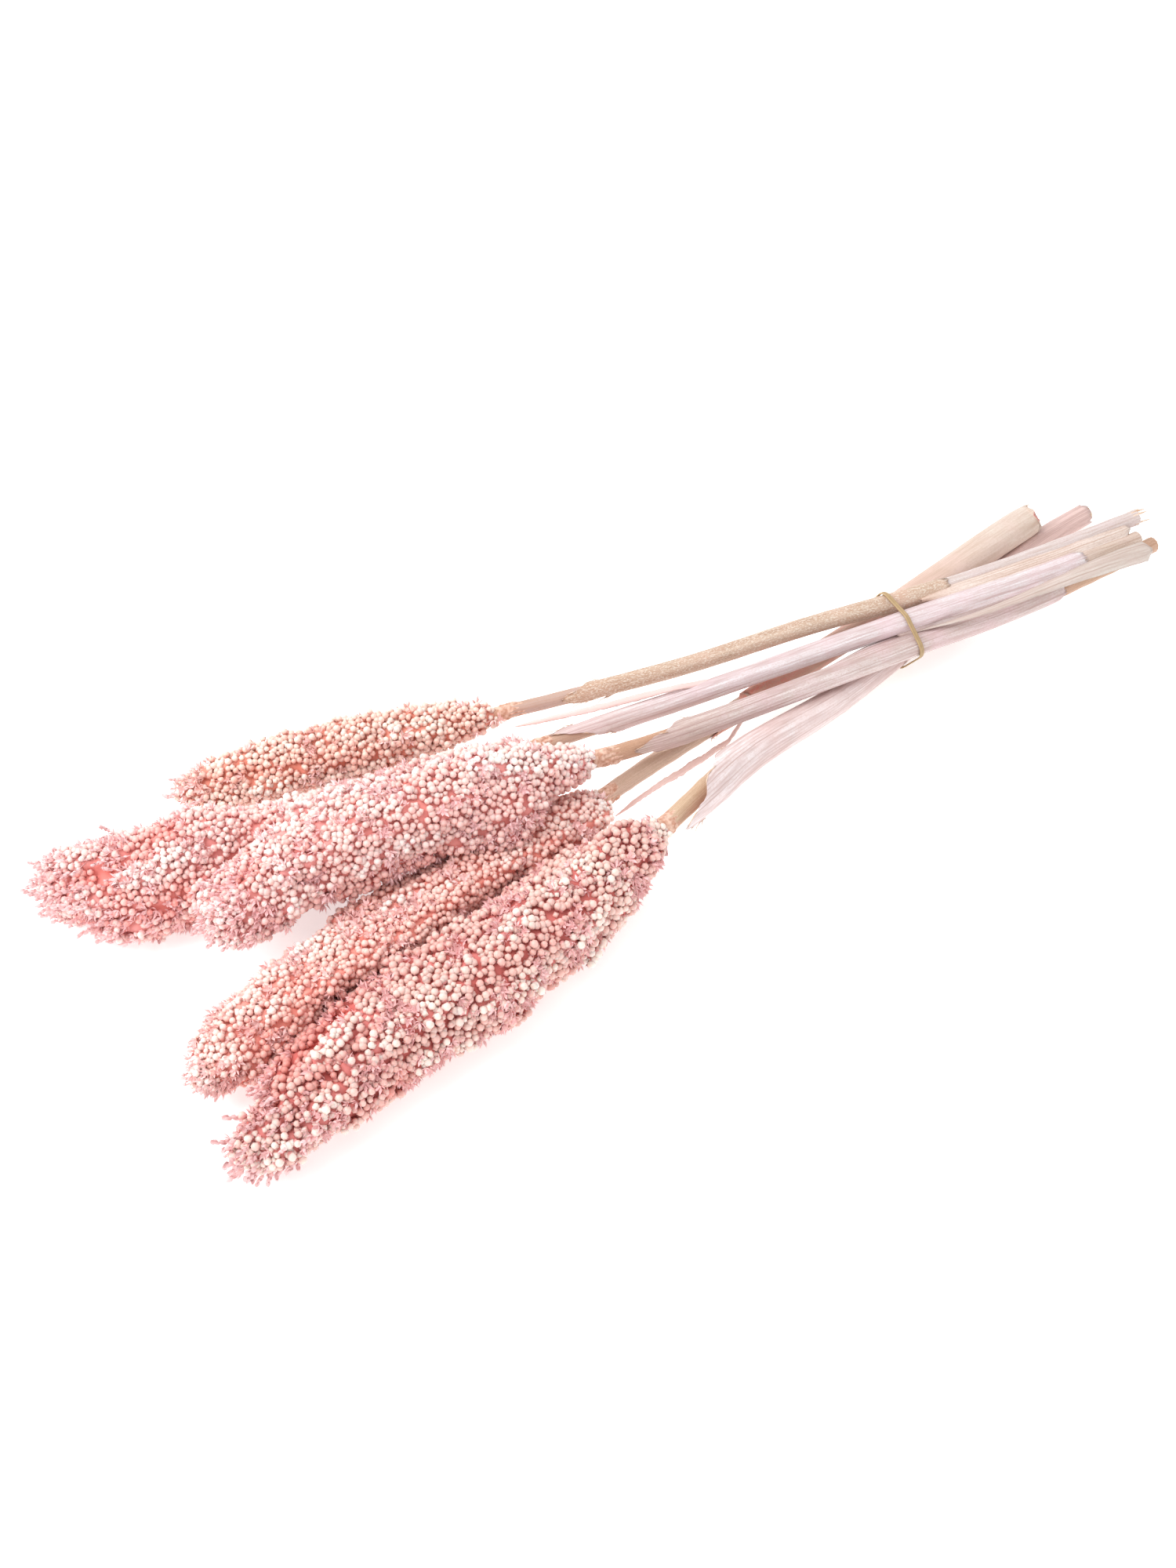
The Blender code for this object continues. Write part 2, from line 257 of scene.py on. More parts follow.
def moulded(shapes, name, voxel, smoothing=0):
    """Melts all shapes into one skin of small square faces, and smooths it if asked."""
    made = add_piece("lump", shapes.mesh("lump"))
    melt = made.modifiers.new("melt", "REMESH")
    melt.mode = "VOXEL"
    melt.voxel_size = voxel * MM
    if smoothing:
        made.modifiers.new("soften", "SMOOTH").iterations = smoothing
    return baked(made, name)


print("helpers gather shapes, sweep tubes and melt them")

# %% [markdown]
# Wiring nodes
#
# Geometry trees and shader groups are both built in the script, so that their steps can be read
# here. One helper adds a node, feeds a socket from a number or from another node, and does sums.
# %% Wiring nodes
class Wiring:
    """Adds nodes to a tree, and feeds their sockets."""

    def __init__(self, name, kind):
        self.tree = bpy.data.node_groups.new(name, kind)

    def ask(self, name, kind, value=None):
        """A named input of the tree, with its value."""
        sockets = self.tree.interface
        socket = sockets.new_socket(name=name, in_out="INPUT", socket_type=f"NodeSocket{kind}")
        if value is not None:
            socket.default_value = value

    def ask_numbers(self, **values):
        """Named inputs for numbers: size_spread becomes Size Spread."""
        for name, value in values.items():
            self.ask(name.replace("_", " ").title(), "Float", value)

    def give(self, name, kind):
        """A named output of the tree."""
        sockets = self.tree.interface
        sockets.new_socket(name=name, in_out="OUTPUT", socket_type=f"NodeSocket{kind}")

    def feed(self, socket, value):
        """Links a socket to another, or sets its number."""
        if isinstance(value, bpy.types.NodeSocket):
            self.tree.links.new(value, socket)
        else:
            socket.default_value = value

    def add(self, kind, feeds=None, **settings):
        """A new node with its settings, and what is fed to its inputs by name or by number."""
        made = self.tree.nodes.new(kind)
        for setting, value in settings.items():
            setattr(made, setting, value)
        for socket, value in (feeds or {}).items():
            self.feed(made.inputs[socket], value)
        return made

    def calculate(self, operation, *values, kind="ShaderNodeMath"):
        """A sum of numbers, such as ADD or MULTIPLY."""
        return self.add(kind, dict(enumerate(values)), operation=operation).outputs[0]

    def vector(self, operation, *values):
        """The same for vectors."""
        return self.calculate(operation, *values, kind="ShaderNodeVectorMath")

    def stretched(self, vector, factor):
        """A vector or colour, times a number."""
        feeds = {0: vector, "Scale": factor}
        return self.add("ShaderNodeVectorMath", feeds, operation="SCALE").outputs[0]

    def ranged(self, value, low, high):
        """0 where the value is low, 1 where it is high."""
        feeds = {"Value": value, "From Min": low, "From Max": high}
        return self.add("ShaderNodeMapRange", feeds).outputs[0]

    def mixed(self, factor, first, second):
        """A colour between two others."""
        feeds = {0: factor, 6: first, 7: second}
        return self.add("ShaderNodeMix", feeds, data_type="RGBA").outputs[2]

    def noise(self, vector, detail, roughness=0.6):
        """A noise at this place, in a material."""
        feeds = {"Vector": vector, "Scale": 1.0, "Detail": detail, "Roughness": roughness}
        return self.add("ShaderNodeTexNoise", feeds).outputs["Fac"]

    def random(self, kind, low, high, seed):
        """A random number or vector for each point."""
        made = self.add("FunctionNodeRandomValue", data_type=kind)
        live = [socket for socket in made.inputs if socket.enabled]
        self.feed(live[0], low)
        self.feed(live[1], high)
        self.feed(live[-1], seed)
        return next(socket for socket in made.outputs if socket.enabled)

    def stored(self, name):
        """A named number that was written on the geometry."""
        made = self.add("GeometryNodeInputNamedAttribute", {"Name": name}, data_type="FLOAT")
        return made.outputs["Attribute"]

    def store(self, geometry, name, value, kind="FLOAT", domain="POINT"):
        """Writes a named number or vector on the geometry."""
        feeds = {"Name": name, "Geometry": geometry}
        made = self.add("GeometryNodeStoreNamedAttribute", feeds, data_type=kind, domain=domain)
        self.feed(next(s for s in made.inputs if s.name == "Value" and s.enabled), value)
        return made.outputs[0]

    def made_real(self, geometry, material):
        """Makes copies real, and gives them their finish."""
        real = self.add("GeometryNodeRealizeInstances", {0: geometry}).outputs[0]
        feeds = {"Geometry": real, "Material": material}
        return self.add("GeometryNodeSetMaterial", feeds).outputs[0]


def set_input(modifier, name, value):
    """Sets a modifier's input by the identifier of the socket with this name."""
    for item in modifier.node_group.interface.items_tree:
        if item.item_type == "SOCKET" and item.in_out == "INPUT" and item.name == name:
            modifier[item.identifier] = value


print("one helper wires geometry trees and shader groups")

# %% [markdown]
# Measuring the plain solids
#
# Each plain solid is a long body, so it is measured by slicing it across its length: the middle
# of each slice gives a centre line. A merged copy of the solid also goes into a search tree,
# which tells how far its surface is in any direction.
# %% Measuring the plain solids
def merged_copy(node):
    """The node's mesh with its loose triangles merged."""
    mesh = bmesh.new()
    mesh.from_mesh(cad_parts[node].data)
    bmesh.ops.remove_doubles(mesh, verts=mesh.verts, dist=1e-6)
    return mesh


def corner_points(mesh):
    """The corners of a mesh, as rows of numbers."""
    return np.array([vertex.co for vertex in mesh.verts])


def edge_ends(mesh):
    """Both ends of every edge, as rows of numbers."""
    return np.array([[vertex.co for vertex in edge.verts] for edge in mesh.edges])


def crossings(ends, level):
    """Where the edges pass a plane, told from how high each of their ends lies over it."""
    cut = level[:, 0] * level[:, 1] < 0
    share = (level[cut, 0] / (level[cut, 0] - level[cut, 1]))[:, None]
    return ends[cut, 0] + share * (ends[cut, 1] - ends[cut, 0])


def centre_line(mesh, start, end, count):
    """Middle and mean radius of slices across the line from start to end."""
    start = Vector(start)
    end = Vector(end)
    along = (end - start).normalized()
    length = (end - start).length
    ends = edge_ends(mesh)
    places = []
    for step in range(count):
        at = length * step / (count - 1)
        found = crossings(ends, (ends - np.array(start)) @ np.array(along) - at)
        middle = found.mean(axis=0)
        radius = np.linalg.norm(found - middle, axis=1).mean()
        places.append((Vector(middle), float(radius)))
    return places


print("slices measure the plain solids")

# %% [markdown]
# How a seed head is built
#
# A sorghum head is a stiff core, the rachis, with dozens of branches that lean to the tip. Each
# branch carries short clusters of spikelets. The branches are made as spindle-shaped tubes that
# leave the core and then run close under the head's outline, and each bears round knobs for its
# clusters. A voxel remesh melts them into one lumpy skin, with clefts between the branches, and
# the skin is what the grains are sown on. Sowing straight on a smooth body would lose the clefts
# and lumps that make a real head.
# %% The five heads in numbers
GRAIN_SIZES = {1: 3.6, 2: 3.65, 3: 3.7, 4: 3.4, 5: 3.95}
BRANCHES = {1: 50, 2: 84, 3: 72, 4: 80, 5: 80}
# A head's centre line has this many places. Its neck is the part that lies this near its stalk,
# and its line stops this far before the tip.
STATIONS = 40
NECK_SLICE = 3.0
TIP_INSET = 3.0


class Head:
    """The measured outline of one head: where its surface is, seen from its centre line."""

    def __init__(self, number):
        self.number = number
        mesh = merged_copy(f"head_{number}")
        stalk = merged_copy(f"stalk_{number}")
        self.tree = BVHTree.FromBMesh(mesh)
        points = corner_points(mesh)
        stalk_points = corner_points(stalk)
        stalk_start = stalk_points[stalk_points[:, 0].argmin()]
        near = np.linalg.norm(points - stalk_start, axis=1)
        neck = points[near < near.min() + NECK_SLICE * MM].mean(axis=0)
        tip = points[near.argmax()]
        inset = (tip - neck) / np.linalg.norm(tip - neck)
        self.line = centre_line(mesh, neck + inset * MM, tip - inset * TIP_INSET * MM, STATIONS)
        self.places = [place for place, _ in self.line]
        self.frames = frames_along(self.places)
        self.length = path_length(self.places)
        self.towards_tip = (self.places[-1] - self.places[0]).normalized()
        mesh.free()
        stalk.free()

    def at(self, share):
        """Centre, direction, side and lift at a share of the way from the neck to the tip."""
        along = min(max(share, 0.0), 1.0) * (STATIONS - 1)
        low = min(int(along), STATIONS - 2)
        part = along - low
        centre = self.places[low].lerp(self.places[low + 1], part)
        direction, side, lift = self.frames[low]
        return centre, direction, side, lift

    def reach(self, share, angle):
        """The way out at this angle, and how far the outline is that way."""
        centre, _, side, lift = self.at(share)
        way = way_round(side, lift, angle)
        _, _, _, distance = self.tree.ray_cast(centre, way)
        return centre, way, distance if distance is not None else 2 * MM


heads = {number: Head(number) for number in GRAIN_SIZES}
for number, head in heads.items():
    belly = max(radius for _, radius in head.line)
    print(f"head {number}: {head.length / MM:.0f} mm long, {2 * belly / MM:.0f} mm thick")

# %% The branches of a head
# The grains stand this deep over the skin.
COVER = 2.9
BRANCH_STEPS = 14
# A branch's girth against the head's, its length against the head's, and how far it swings round.
BRANCH_GIRTH = (0.24, 0.36)
BRANCH_SPAN = (0.24, 0.36)
BRANCH_SWING = 0.25
SUNK = 3.0
# The knobs along a branch: how far apart and how proud they stand, their sizes and their stretch.
KNOB_STEP = 6.0
KNOB_PROUD = 2.2
KNOB_SIZE = (3.2, 5.4)
KNOB_STRETCH = (1.0, 1.6)
KNOB_LEAN = 0.8
knob_shape = ball(8, 6)


def branch_path(head, draw, end, angle, outward):
    """Places and radii of a branch that surfaces near this share of the head and angle."""
    _, _, belly = head.reach(max(0.25, min(end, 0.7)), angle)
    widest = belly * draw.uniform(*BRANCH_GIRTH)
    span = draw.uniform(*BRANCH_SPAN)
    sunk = draw.uniform(0.0, SUNK) * MM
    begin = max(0.0, end - span)
    swing = draw.uniform(-BRANCH_SWING, BRANCH_SWING)
    places = []
    radii = []
    for step in range(BRANCH_STEPS):
        way_along = step / (BRANCH_STEPS - 1)
        share = begin + (end - begin) * way_along
        centre, way, distance = head.reach(share, angle + swing * way_along)
        girth = math.sin(math.pi * min(0.12 + 0.80 * way_along, 0.93)) ** 0.7
        radius = min(widest * girth, distance * 0.48)
        rise = math.sin(math.pi / 2 * min(1.0, way_along / 0.55)) ** 0.8
        outmost = max(distance - COVER * MM - radius - sunk, distance * 0.12)
        places.append(centre + way * outmost * rise * outward)
        radii.append(max(radius - KNOB_PROUD * MM, 0.8 * MM))
    return places, radii


def knob(draw, place, direction, out, radius):
    """The corners of one knob on a branch."""
    across = direction.cross(out)
    lean = draw.uniform(-KNOB_LEAN, KNOB_LEAN)
    size = min(draw.uniform(*KNOB_SIZE) * MM, radius + KNOB_PROUD * MM)
    stand_off = radius + (KNOB_PROUD + draw.uniform(-0.6, 0.9)) * MM - size
    seat = place + way_round(out, across, lean) * stand_off
    longer = draw.uniform(*KNOB_STRETCH) - 1
    return [
        seat + corner * size + direction * (corner.dot(direction) * size * longer)
        for corner in knob_shape[0]
    ]


def add_branch(shapes, head, draw, end, angle, outward=1.0):
    """One branch with its knobs of clusters."""
    places, radii = branch_path(head, draw, end, angle, outward)
    shapes.add(*tube(places, radii, 8))
    centre, _, _, _ = head.at(end)
    knobs = max(3, int(path_length(places) / (KNOB_STEP * MM)))
    for number in range(knobs):
        along = (number + 0.5 + draw.uniform(-0.3, 0.3)) / knobs
        at = min(max(along, 0.0), 1.0) * (BRANCH_STEPS - 1)
        low = min(int(at), BRANCH_STEPS - 2)
        place = places[low].lerp(places[low + 1], at - low)
        direction = (places[low + 1] - places[low]).normalized()
        out = (place - centre).normalized()
        shapes.add(knob(draw, place, direction, out, radii[low]), knob_shape[1])


print("each branch bears a knob every", KNOB_STEP, "mm")

# %% Melt the branches into skins
BODY_RINGS = 26
BODY_AROUND = 20
BODY_DEPTH = 6.0
BODY_END = 0.86
SKIN_VOXEL = 1.5
# One branch more at the tip for so many branches along the head.
TIP_BRANCHES = 4
GOLDEN = math.pi * (3 - math.sqrt(5))


def add_inner_body(shapes, head):
    """A body that keeps its depth under the outline, and is slimmer where the tip splits up."""
    corners = []
    for ring in range(BODY_RINGS):
        share = BODY_END * ring / (BODY_RINGS - 1)
        slim = min(1.0, (1.0 - share / BODY_END) / 0.28 + 0.28)
        for step in range(BODY_AROUND):
            centre, way, distance = head.reach(share, 2 * math.pi * step / BODY_AROUND)
            out = max(distance - BODY_DEPTH * MM, distance * 0.5) * slim
            corners.append(centre + way * out)
    shapes.add(corners, ring_faces(BODY_RINGS, BODY_AROUND))


def rough_skin(head):
    """All branches of a head melted into one lumpy skin."""
    draw = np.random.default_rng(40 + head.number)
    shapes = Gather()
    add_inner_body(shapes, head)
    count = BRANCHES[head.number]
    for branch in range(count):
        end = 0.10 + 0.89 * (branch + 0.5) / count
        end += draw.uniform(-0.03, 0.03)
        angle = GOLDEN * branch + draw.uniform(-0.3, 0.3)
        add_branch(shapes, head, draw, min(end, 0.995), angle)
    at_tip = count // TIP_BRANCHES
    for branch in range(at_tip):
        outward = math.sqrt((branch + 0.5) / at_tip)
        add_branch(shapes, head, draw, draw.uniform(0.93, 1.0), GOLDEN * branch, outward)
    return moulded(shapes, f"skin_{head.number}", SKIN_VOXEL)


skins = {}
for number, head in heads.items():
    skins[number] = rough_skin(head)
    print(f"skin {number}: {len(skins[number].polygons)} faces")

# %% [markdown]
# Shaping the skins
#
# In a bunch the heads press on each other: they bulge into the seams, and single branches push
# lobes out of the outline. The skins get those swellings, and at the same time each corner of a
# skin gets numbers that say how the head is covered there: how open it lies, how much of it is in
# flower, how rosy it turned in the dye, how feathery and how grainy it is. In the seams where heads
# touch the openness is cut down, so that the cleft colour paints shade there. Painting these numbers
# by hand would work too, but smooth noises give patches as uneven as those of a plant.
# %% Shape the skins and map their cover
# The skin keeps at least this share of the cover's depth, and this much above the table.
KEPT_COVER = 0.75
TABLE_GAP = 2.4
CLEFT_DEPTH = 6.5
# Where two heads press on each other their seam gets the cleft colour as painted shade: the share of
# openness left there.
SEAM_SHADE_OPENNESS = 0.2
TOUCHING = 2.0
SNUG_REACH = 13.0
# A head that is squeezed between others bulges into the seams: how far, and to which side.
SWELL = {
    3: (3.0, (0.0, -1.0, -0.4)),
    4: (5.0, (0.0, 0.0, 1.0)),
    5: (3.0, (0.0, 0.8, 0.6)),
}
# Lobes that stand out from a head: the middle, the reach, how far it stands out and its way.
LOBES = {
    2: (
        ((-0.302, 0.0465, 0.02), 42.0, 7.0, (0.0, -1.0, -0.2)),
        ((-0.252, 0.059, 0.055), 34.0, 7.0, (0.0, 0.7, 0.7)),
    ),
    3: (
        ((-0.122, -0.028, 0.05), 30.0, 10.0, (0.0, -1.0, -0.35)),
        ((-0.26, -0.0085, 0.042), 38.0, 6.0, (0.0, -1.0, -0.2)),
        ((-0.122, -0.009, 0.08), 28.0, 6.0, (0.0, 1.0, 0.4)),
    ),
    4: (((-0.072, -0.0315, 0.032), 24.0, 8.0, (0.4, -0.9, 0.2)),),
    5: (
        ((-0.178, -0.11, 0.0286), 24.0, 8.0, (0.0, -1.0, -0.2)),
        ((-0.262, -0.118, 0.026), 40.0, 4.5, (0.0, -1.0, -0.2)),
        ((-0.3155, -0.102, 0.027), 17.0, 9.0, (-1.0, 0.2, 0.0)),
        ((-0.079, -0.067, 0.05), 24.0, 6.0, (0.3, 0.8, 0.4)),
    ),
}
# How far a head's tip is drawn back, and from which share of its length.
TIP_BACK = {2: 6.0, 4: 5.0}
TIP_START = 0.86
# How much of each head is in flower, how wide such a patch is, and how rosy the head turns.
FLOWERS = {1: 0.12, 2: 0.34, 3: 0.30, 4: 0.16, 5: 0.26}
FLOWER_PATCH = 16.0
FLOWER_SPECK = 0.4
ROSY = {1: 0.25, 2: 0.6, 3: 0.45, 4: 0.5, 5: 0.7}
ROSY_PATCH = 45.0
# Between the clusters of grain lie small gaps that show the branches and their florets.
GAPS = {1: 0.3, 2: 0.25, 3: 0.3, 4: 0.25, 5: 0.35}
GAP_SIZE = 5.5
# From which share of its length each head's tip is feathery.
FEATHERY = {1: 0.86, 2: 0.72, 3: 0.86, 4: 0.86, 5: 0.82}
# Each head takes its noises from another place.
NOISE_STEP = Vector((0.3, 0.2, 0.1))


def ramp(value, low, high):
    """0 below low, 1 above high, and even between them."""
    return min(1.0, max(0.0, (value - low) / (high - low)))


def swollen(head, place, found, normal, near, share):
    """Where a corner goes: the seams swell, the tip is drawn back and the lobes stand out."""
    swell, swell_way = SWELL.get(head.number, (0.0, (0.0, 0.0, 1.0)))
    if swell and normal.dot(Vector(swell_way)) > 0:
        place += normal * swell * MM * (1.0 - ramp(near, TOUCHING * MM, SNUG_REACH * MM))
    pull = TIP_BACK.get(head.number, 0.0) * MM * ramp(share, TIP_START, 1.0)
    place -= head.towards_tip * pull
    for middle, reach, proud, lobe_way in LOBES.get(head.number, ()):
        way = Vector(lobe_way).normalized()
        inside = 1.0 - ramp((found - Vector(middle)).length, 0.0, reach * MM) ** 2
        facing = max(0.0, normal.dot(way))
        place += way * proud * MM * inside * inside * min(1.0, facing * 1.6)
    return place


def cover_here(head, place, share):
    """How flowery, rosy, feathery and grainy the head is at this place."""
    shifted = place + NOISE_STEP * head.number
    patch = noise.noise(shifted / (FLOWER_PATCH * MM))
    patch += 0.5 * noise.noise(shifted / (FLOWER_PATCH * FLOWER_SPECK * MM))
    gap = noise.noise(shifted / (GAP_SIZE * MM))
    bloom = 0.5 * gap + FLOWERS[head.number] + 0.5 * ramp(share, 0.72, 1.0)
    flowery = ramp(patch + bloom, 0.35, 0.65)
    wash = noise.noise(shifted / (ROSY_PATCH * MM))
    rosy = ramp(wash + ROSY[head.number] * (0.4 + share), 0.0, 1.0)
    tippy = ramp(share, FEATHERY[head.number], 1.0) + 0.35 * ramp(-share, -0.04, 0.0)
    grainy = (1.0 - 0.45 * flowery) * (1.0 - GAPS[head.number] * ramp(gap, 0.05, 0.3))
    return flowery, rosy, tippy, grainy


def tuck_in(head, data):
    """Keeps the skin under the outline and above the table, shapes it and maps its cover."""
    others = [other.tree for other in heads.values() if other is not head]
    kept_under = COVER * KEPT_COVER * MM
    maps = []
    for vertex in data.vertices:
        found, normal, _, _ = head.tree.find_nearest(vertex.co)
        depth = (found - vertex.co).dot(normal)
        share = (vertex.co - head.places[0]).dot(head.towards_tip) / head.length
        if depth < kept_under:
            vertex.co = vertex.co - normal * (kept_under - depth)
            depth = kept_under
        vertex.co.z = max(vertex.co.z, TABLE_GAP * MM)
        near = min(tree.find_nearest(vertex.co)[3] for tree in others)
        vertex.co = swollen(head, vertex.co.copy(), found, normal, near, share)
        opened = 1.0 - min(1.0, max(0.0, depth - COVER * MM) / (CLEFT_DEPTH * MM))
        # Near another head the openness drops, so that the cleft colour paints shade into the seam.
        seam_shade = SEAM_SHADE_OPENNESS + (1.0 - SEAM_SHADE_OPENNESS) * ramp(near, TOUCHING * MM, SNUG_REACH * MM)
        maps.append((opened * seam_shade, *cover_here(head, vertex.co, share)))
    for name, values in zip(("open", "flowery", "rosy", "tippy", "grainy"), zip(*maps)):
        layer = data.attributes.new(name, "FLOAT", "POINT")
        layer.data.foreach_set("value", values)


for number, head in heads.items():
    tuck_in(head, skins[number])
    print(f"skin {number} is shaped, with", len(skins[number].attributes), "attributes")

# %% [markdown]
# The shapes that are sown
#
# A spikelet is one plump grain in the grip of two pointed husks, the glumes. Beside it stand
# narrow sterile florets, which look like small lilac-pink stars. Each shape is drawn once, with
# few faces because thousands of copies follow, with its foot at the origin and pointing up. A
# number on each corner says how far up it is, so that the material can fade from foot to tip.
# %% Grain, husks and florets
GRAIN_AROUND = 7
# The height and radius of each ring of corners of a grain 1 wide, and where its ends are.
GRAIN_RINGS = ((0.20, 0.30), (0.52, 0.50), (0.86, 0.36))
GRAIN_FOOT_AT = 0.02
GRAIN_TOP_AT = 1.02
# The turn and the lean of each petal of a floret.
PETALS = ((0.0, 1.0), (1.15, 0.6), (2.1, 1.15), (3.2, 0.75), (4.3, 1.1), (5.3, 0.45))
# The height and the turn of each spikelet along a branchlet, and how its petals spread.
SPRAY_SEATS = ((0.35, 0.4), (0.5, 3.3), (0.66, 1.7), (0.78, 4.9), (0.86, 0.0))
SPRAY_SPREAD = (-0.75, 0.0, 0.75)


def with_rise(shapes, name, height):
    """Makes the mesh and stores how far up each corner is."""
    data = shapes.mesh(name)
    layer = data.attributes.new("rise", "FLOAT", "POINT")
    layer.data.foreach_set("value", [min(1.0, max(0.0, v.co.z / height)) for v in data.vertices])
    data.shade_smooth()
    return data


def grain_shape():
    """A plump grain, a little narrower at its foot, 1 wide."""
    corners = [Vector((0, 0, GRAIN_FOOT_AT))]
    for height, radius in GRAIN_RINGS:
        for step in range(GRAIN_AROUND):
            angle = 2 * math.pi * step / GRAIN_AROUND
            corners.append(Vector((math.cos(angle) * radius, math.sin(angle) * radius, height)))
    corners.append(Vector((0, 0, GRAIN_TOP_AT)))
    faces = []
    top = len(corners) - 1
    for step in range(GRAIN_AROUND):
        after = (step + 1) % GRAIN_AROUND
        faces.append((0, 1 + after, 1 + step))
        for ring in range(len(GRAIN_RINGS) - 1):
            low = 1 + ring * GRAIN_AROUND
            high = low + GRAIN_AROUND
            faces.append((low + step, low + after, high + after, high + step))
        last = top - GRAIN_AROUND
        faces.append((last + step, last + after, top))
    shapes = Gather()
    shapes.add(corners, faces)
    return with_rise(shapes, "grain", 1.0)


def petal(shapes, turn, lean, length, width, bow):
    """A folded pointed petal from the origin, leaning out by lean."""
    spin = Quaternion((0, 0, 1), turn)
    tilt = Quaternion((0, 1, 0), lean)
    tip_tilt = Quaternion((0, 1, 0), lean + bow)
    middle = tilt @ Vector((0, 0, length * 0.5))
    tip = middle + tip_tilt @ Vector((0, 0, length * 0.5))
    keel = middle + tilt @ Vector((width * 0.28, 0, 0))
    corners = [
        spin @ Vector((0, 0, 0)),
        spin @ (middle + Vector((0, width / 2, 0))),
        spin @ keel,
        spin @ (middle - Vector((0, width / 2, 0))),
        spin @ tip,
    ]
    shapes.add(corners, [(0, 2, 1), (0, 3, 2), (1, 2, 4), (2, 3, 4)])


def under_grain_shape():
    """A grain of the lower layer, which only shows through gaps: fewer faces."""
    shapes = Gather()
    shapes.add(*ball(4, 3))
    for corner in shapes.corners:
        corner *= 0.5
        corner.z += 0.5
    return with_rise(shapes, "under_grain", 1.0)


def husk_shape():
    """The two glumes that hold a grain, to go round a grain 1 wide."""
    shapes = Gather()
    for turn in (0.3, 0.3 + math.pi):
        petal(shapes, turn, 0.95, 0.98, 0.72, -1.15)
    return with_rise(shapes, "husk", 0.85)


def floret_shape():
    """A small star of sterile florets, about 1 across."""
    shapes = Gather()
    for turn, lean in PETALS:
        petal(shapes, turn, lean, 0.62, 0.22, -0.30)
    return with_rise(shapes, "floret", 0.5)


def spray_shape():
    """A thin branchlet, 1 long, with spikelets in pairs along it."""
    shapes = Gather()
    places = [Vector((0, 0, -0.1)), Vector((0.05, 0, 0.4)), Vector((0.0, 0.03, 0.85))]
    shapes.add(*tube(places, (0.035, 0.026, 0.018), 3))
    for height, turn in SPRAY_SEATS:
        start = len(shapes.corners)
        for spread in SPRAY_SPREAD:
            petal(shapes, turn + spread, 0.55, 0.34, 0.17, -0.5)
        for corner in shapes.corners[start:]:
            corner.z += height
    return with_rise(shapes, "spray", 1.0)


sown_shapes = {}
for data in (grain_shape(), under_grain_shape(), husk_shape(), floret_shape(), spray_shape()):
    sown_shapes[data.name] = add_piece(f"{data.name}_shape", data)
    print(data.name, triangles(data), "triangles")

# %% [markdown]
# Sowing
#
# One Geometry Nodes tree sows any shape on any skin. It spreads points that keep their distance,
# fewer where the skin lies deep in a cleft, stands a copy on each, leans it from straight out
# towards the head's tip, and turns and sizes each copy a little differently. Every copy also
# keeps a random number, its tint, for the material.
# %% The sowing tree
def sowing_tree():
    """Spreads copies of a shape over a skin."""
    wire = Wiring("sow", "GeometryNodeTree")
    wire.ask("Skin", "Geometry")
    wire.ask("Shape", "Object")
    wire.ask("Favour", "String", "open")
    wire.ask("Tip Way", "Vector", (-1.0, 0.0, 0.0))
    wire.ask("Seed", "Int", 1)
    wire.ask("Finish", "Material")
    wire.ask_numbers(spacing=0.004, crowding=60000.0, size=0.004, size_spread=0.12)
    wire.ask_numbers(lean=0.35, unruliness=0.4, lift=0.0, lift_spread=0.0)
    wire.give("Cover", "Geometry")
    given = wire.add("NodeGroupInput").outputs

    not_deep = wire.ranged(wire.stored("open"), 0.0, 0.15)
    share = wire.calculate("MULTIPLY", not_deep, wire.stored(given["Favour"]))
    spread = wire.add("GeometryNodeDistributePointsOnFaces", distribute_method="POISSON")
    wire.feed(spread.inputs["Mesh"], given["Skin"])
    wire.feed(spread.inputs["Distance Min"], given["Spacing"])
    wire.feed(spread.inputs["Density Max"], given["Crowding"])
    wire.feed(spread.inputs["Density Factor"], share)
    wire.feed(spread.inputs["Seed"], given["Seed"])
    out = spread.outputs["Normal"]

    height = wire.calculate("MULTIPLY", wire.random("FLOAT", -1.0, 1.0, 5), given["Lift Spread"])
    height = wire.calculate("ADD", height, given["Lift"])
    stand = wire.add("GeometryNodeSetPosition", {
        "Geometry": spread.outputs["Points"],
        "Offset": wire.stretched(out, height),
    })

    leaning = wire.stretched(given["Tip Way"], given["Lean"])
    any_way = wire.random("FLOAT_VECTOR", (-1.0, -1.0, -1.0), (1.0, 1.0, 1.0), 6)
    stray = wire.stretched(any_way, given["Unruliness"])
    way = wire.vector("ADD", wire.vector("ADD", out, leaning), stray)
    aim = wire.add("FunctionNodeAlignRotationToVector", {"Vector": way}, axis="Z")
    spin = wire.add("FunctionNodeAxisAngleToRotation", {
        "Axis": (0.0, 0.0, 1.0),
        "Angle": wire.random("FLOAT", 0.0, 2 * math.pi, 7),
    })
    turns = {"Rotation": aim.outputs[0], "Rotate By": spin.outputs[0]}
    turned = wire.add("FunctionNodeRotateRotation", turns, rotation_space="LOCAL")

    vary = wire.calculate("MULTIPLY", wire.random("FLOAT", -1.0, 1.0, 8), given["Size Spread"])
    shape = wire.add("GeometryNodeObjectInfo", {"Object": given["Shape"]})
    copies = wire.add("GeometryNodeInstanceOnPoints", {
        "Points": stand.outputs[0],
        "Instance": shape.outputs["Geometry"],
        "Rotation": turned.outputs[0],
        "Scale": wire.calculate("MULTIPLY", given["Size"], wire.calculate("ADD", vary, 1.0)),
    })
    tint = wire.random("FLOAT", 0.0, 1.0, 9)
    tinted = wire.store(copies.outputs[0], "tint", tint, domain="INSTANCE")
    wire.add("NodeGroupOutput", {"Cover": wire.made_real(tinted, given["Finish"])})
    return wire.tree


sow = sowing_tree()
# Nothing that is sown reaches further down than this.
LOWEST = 0.3


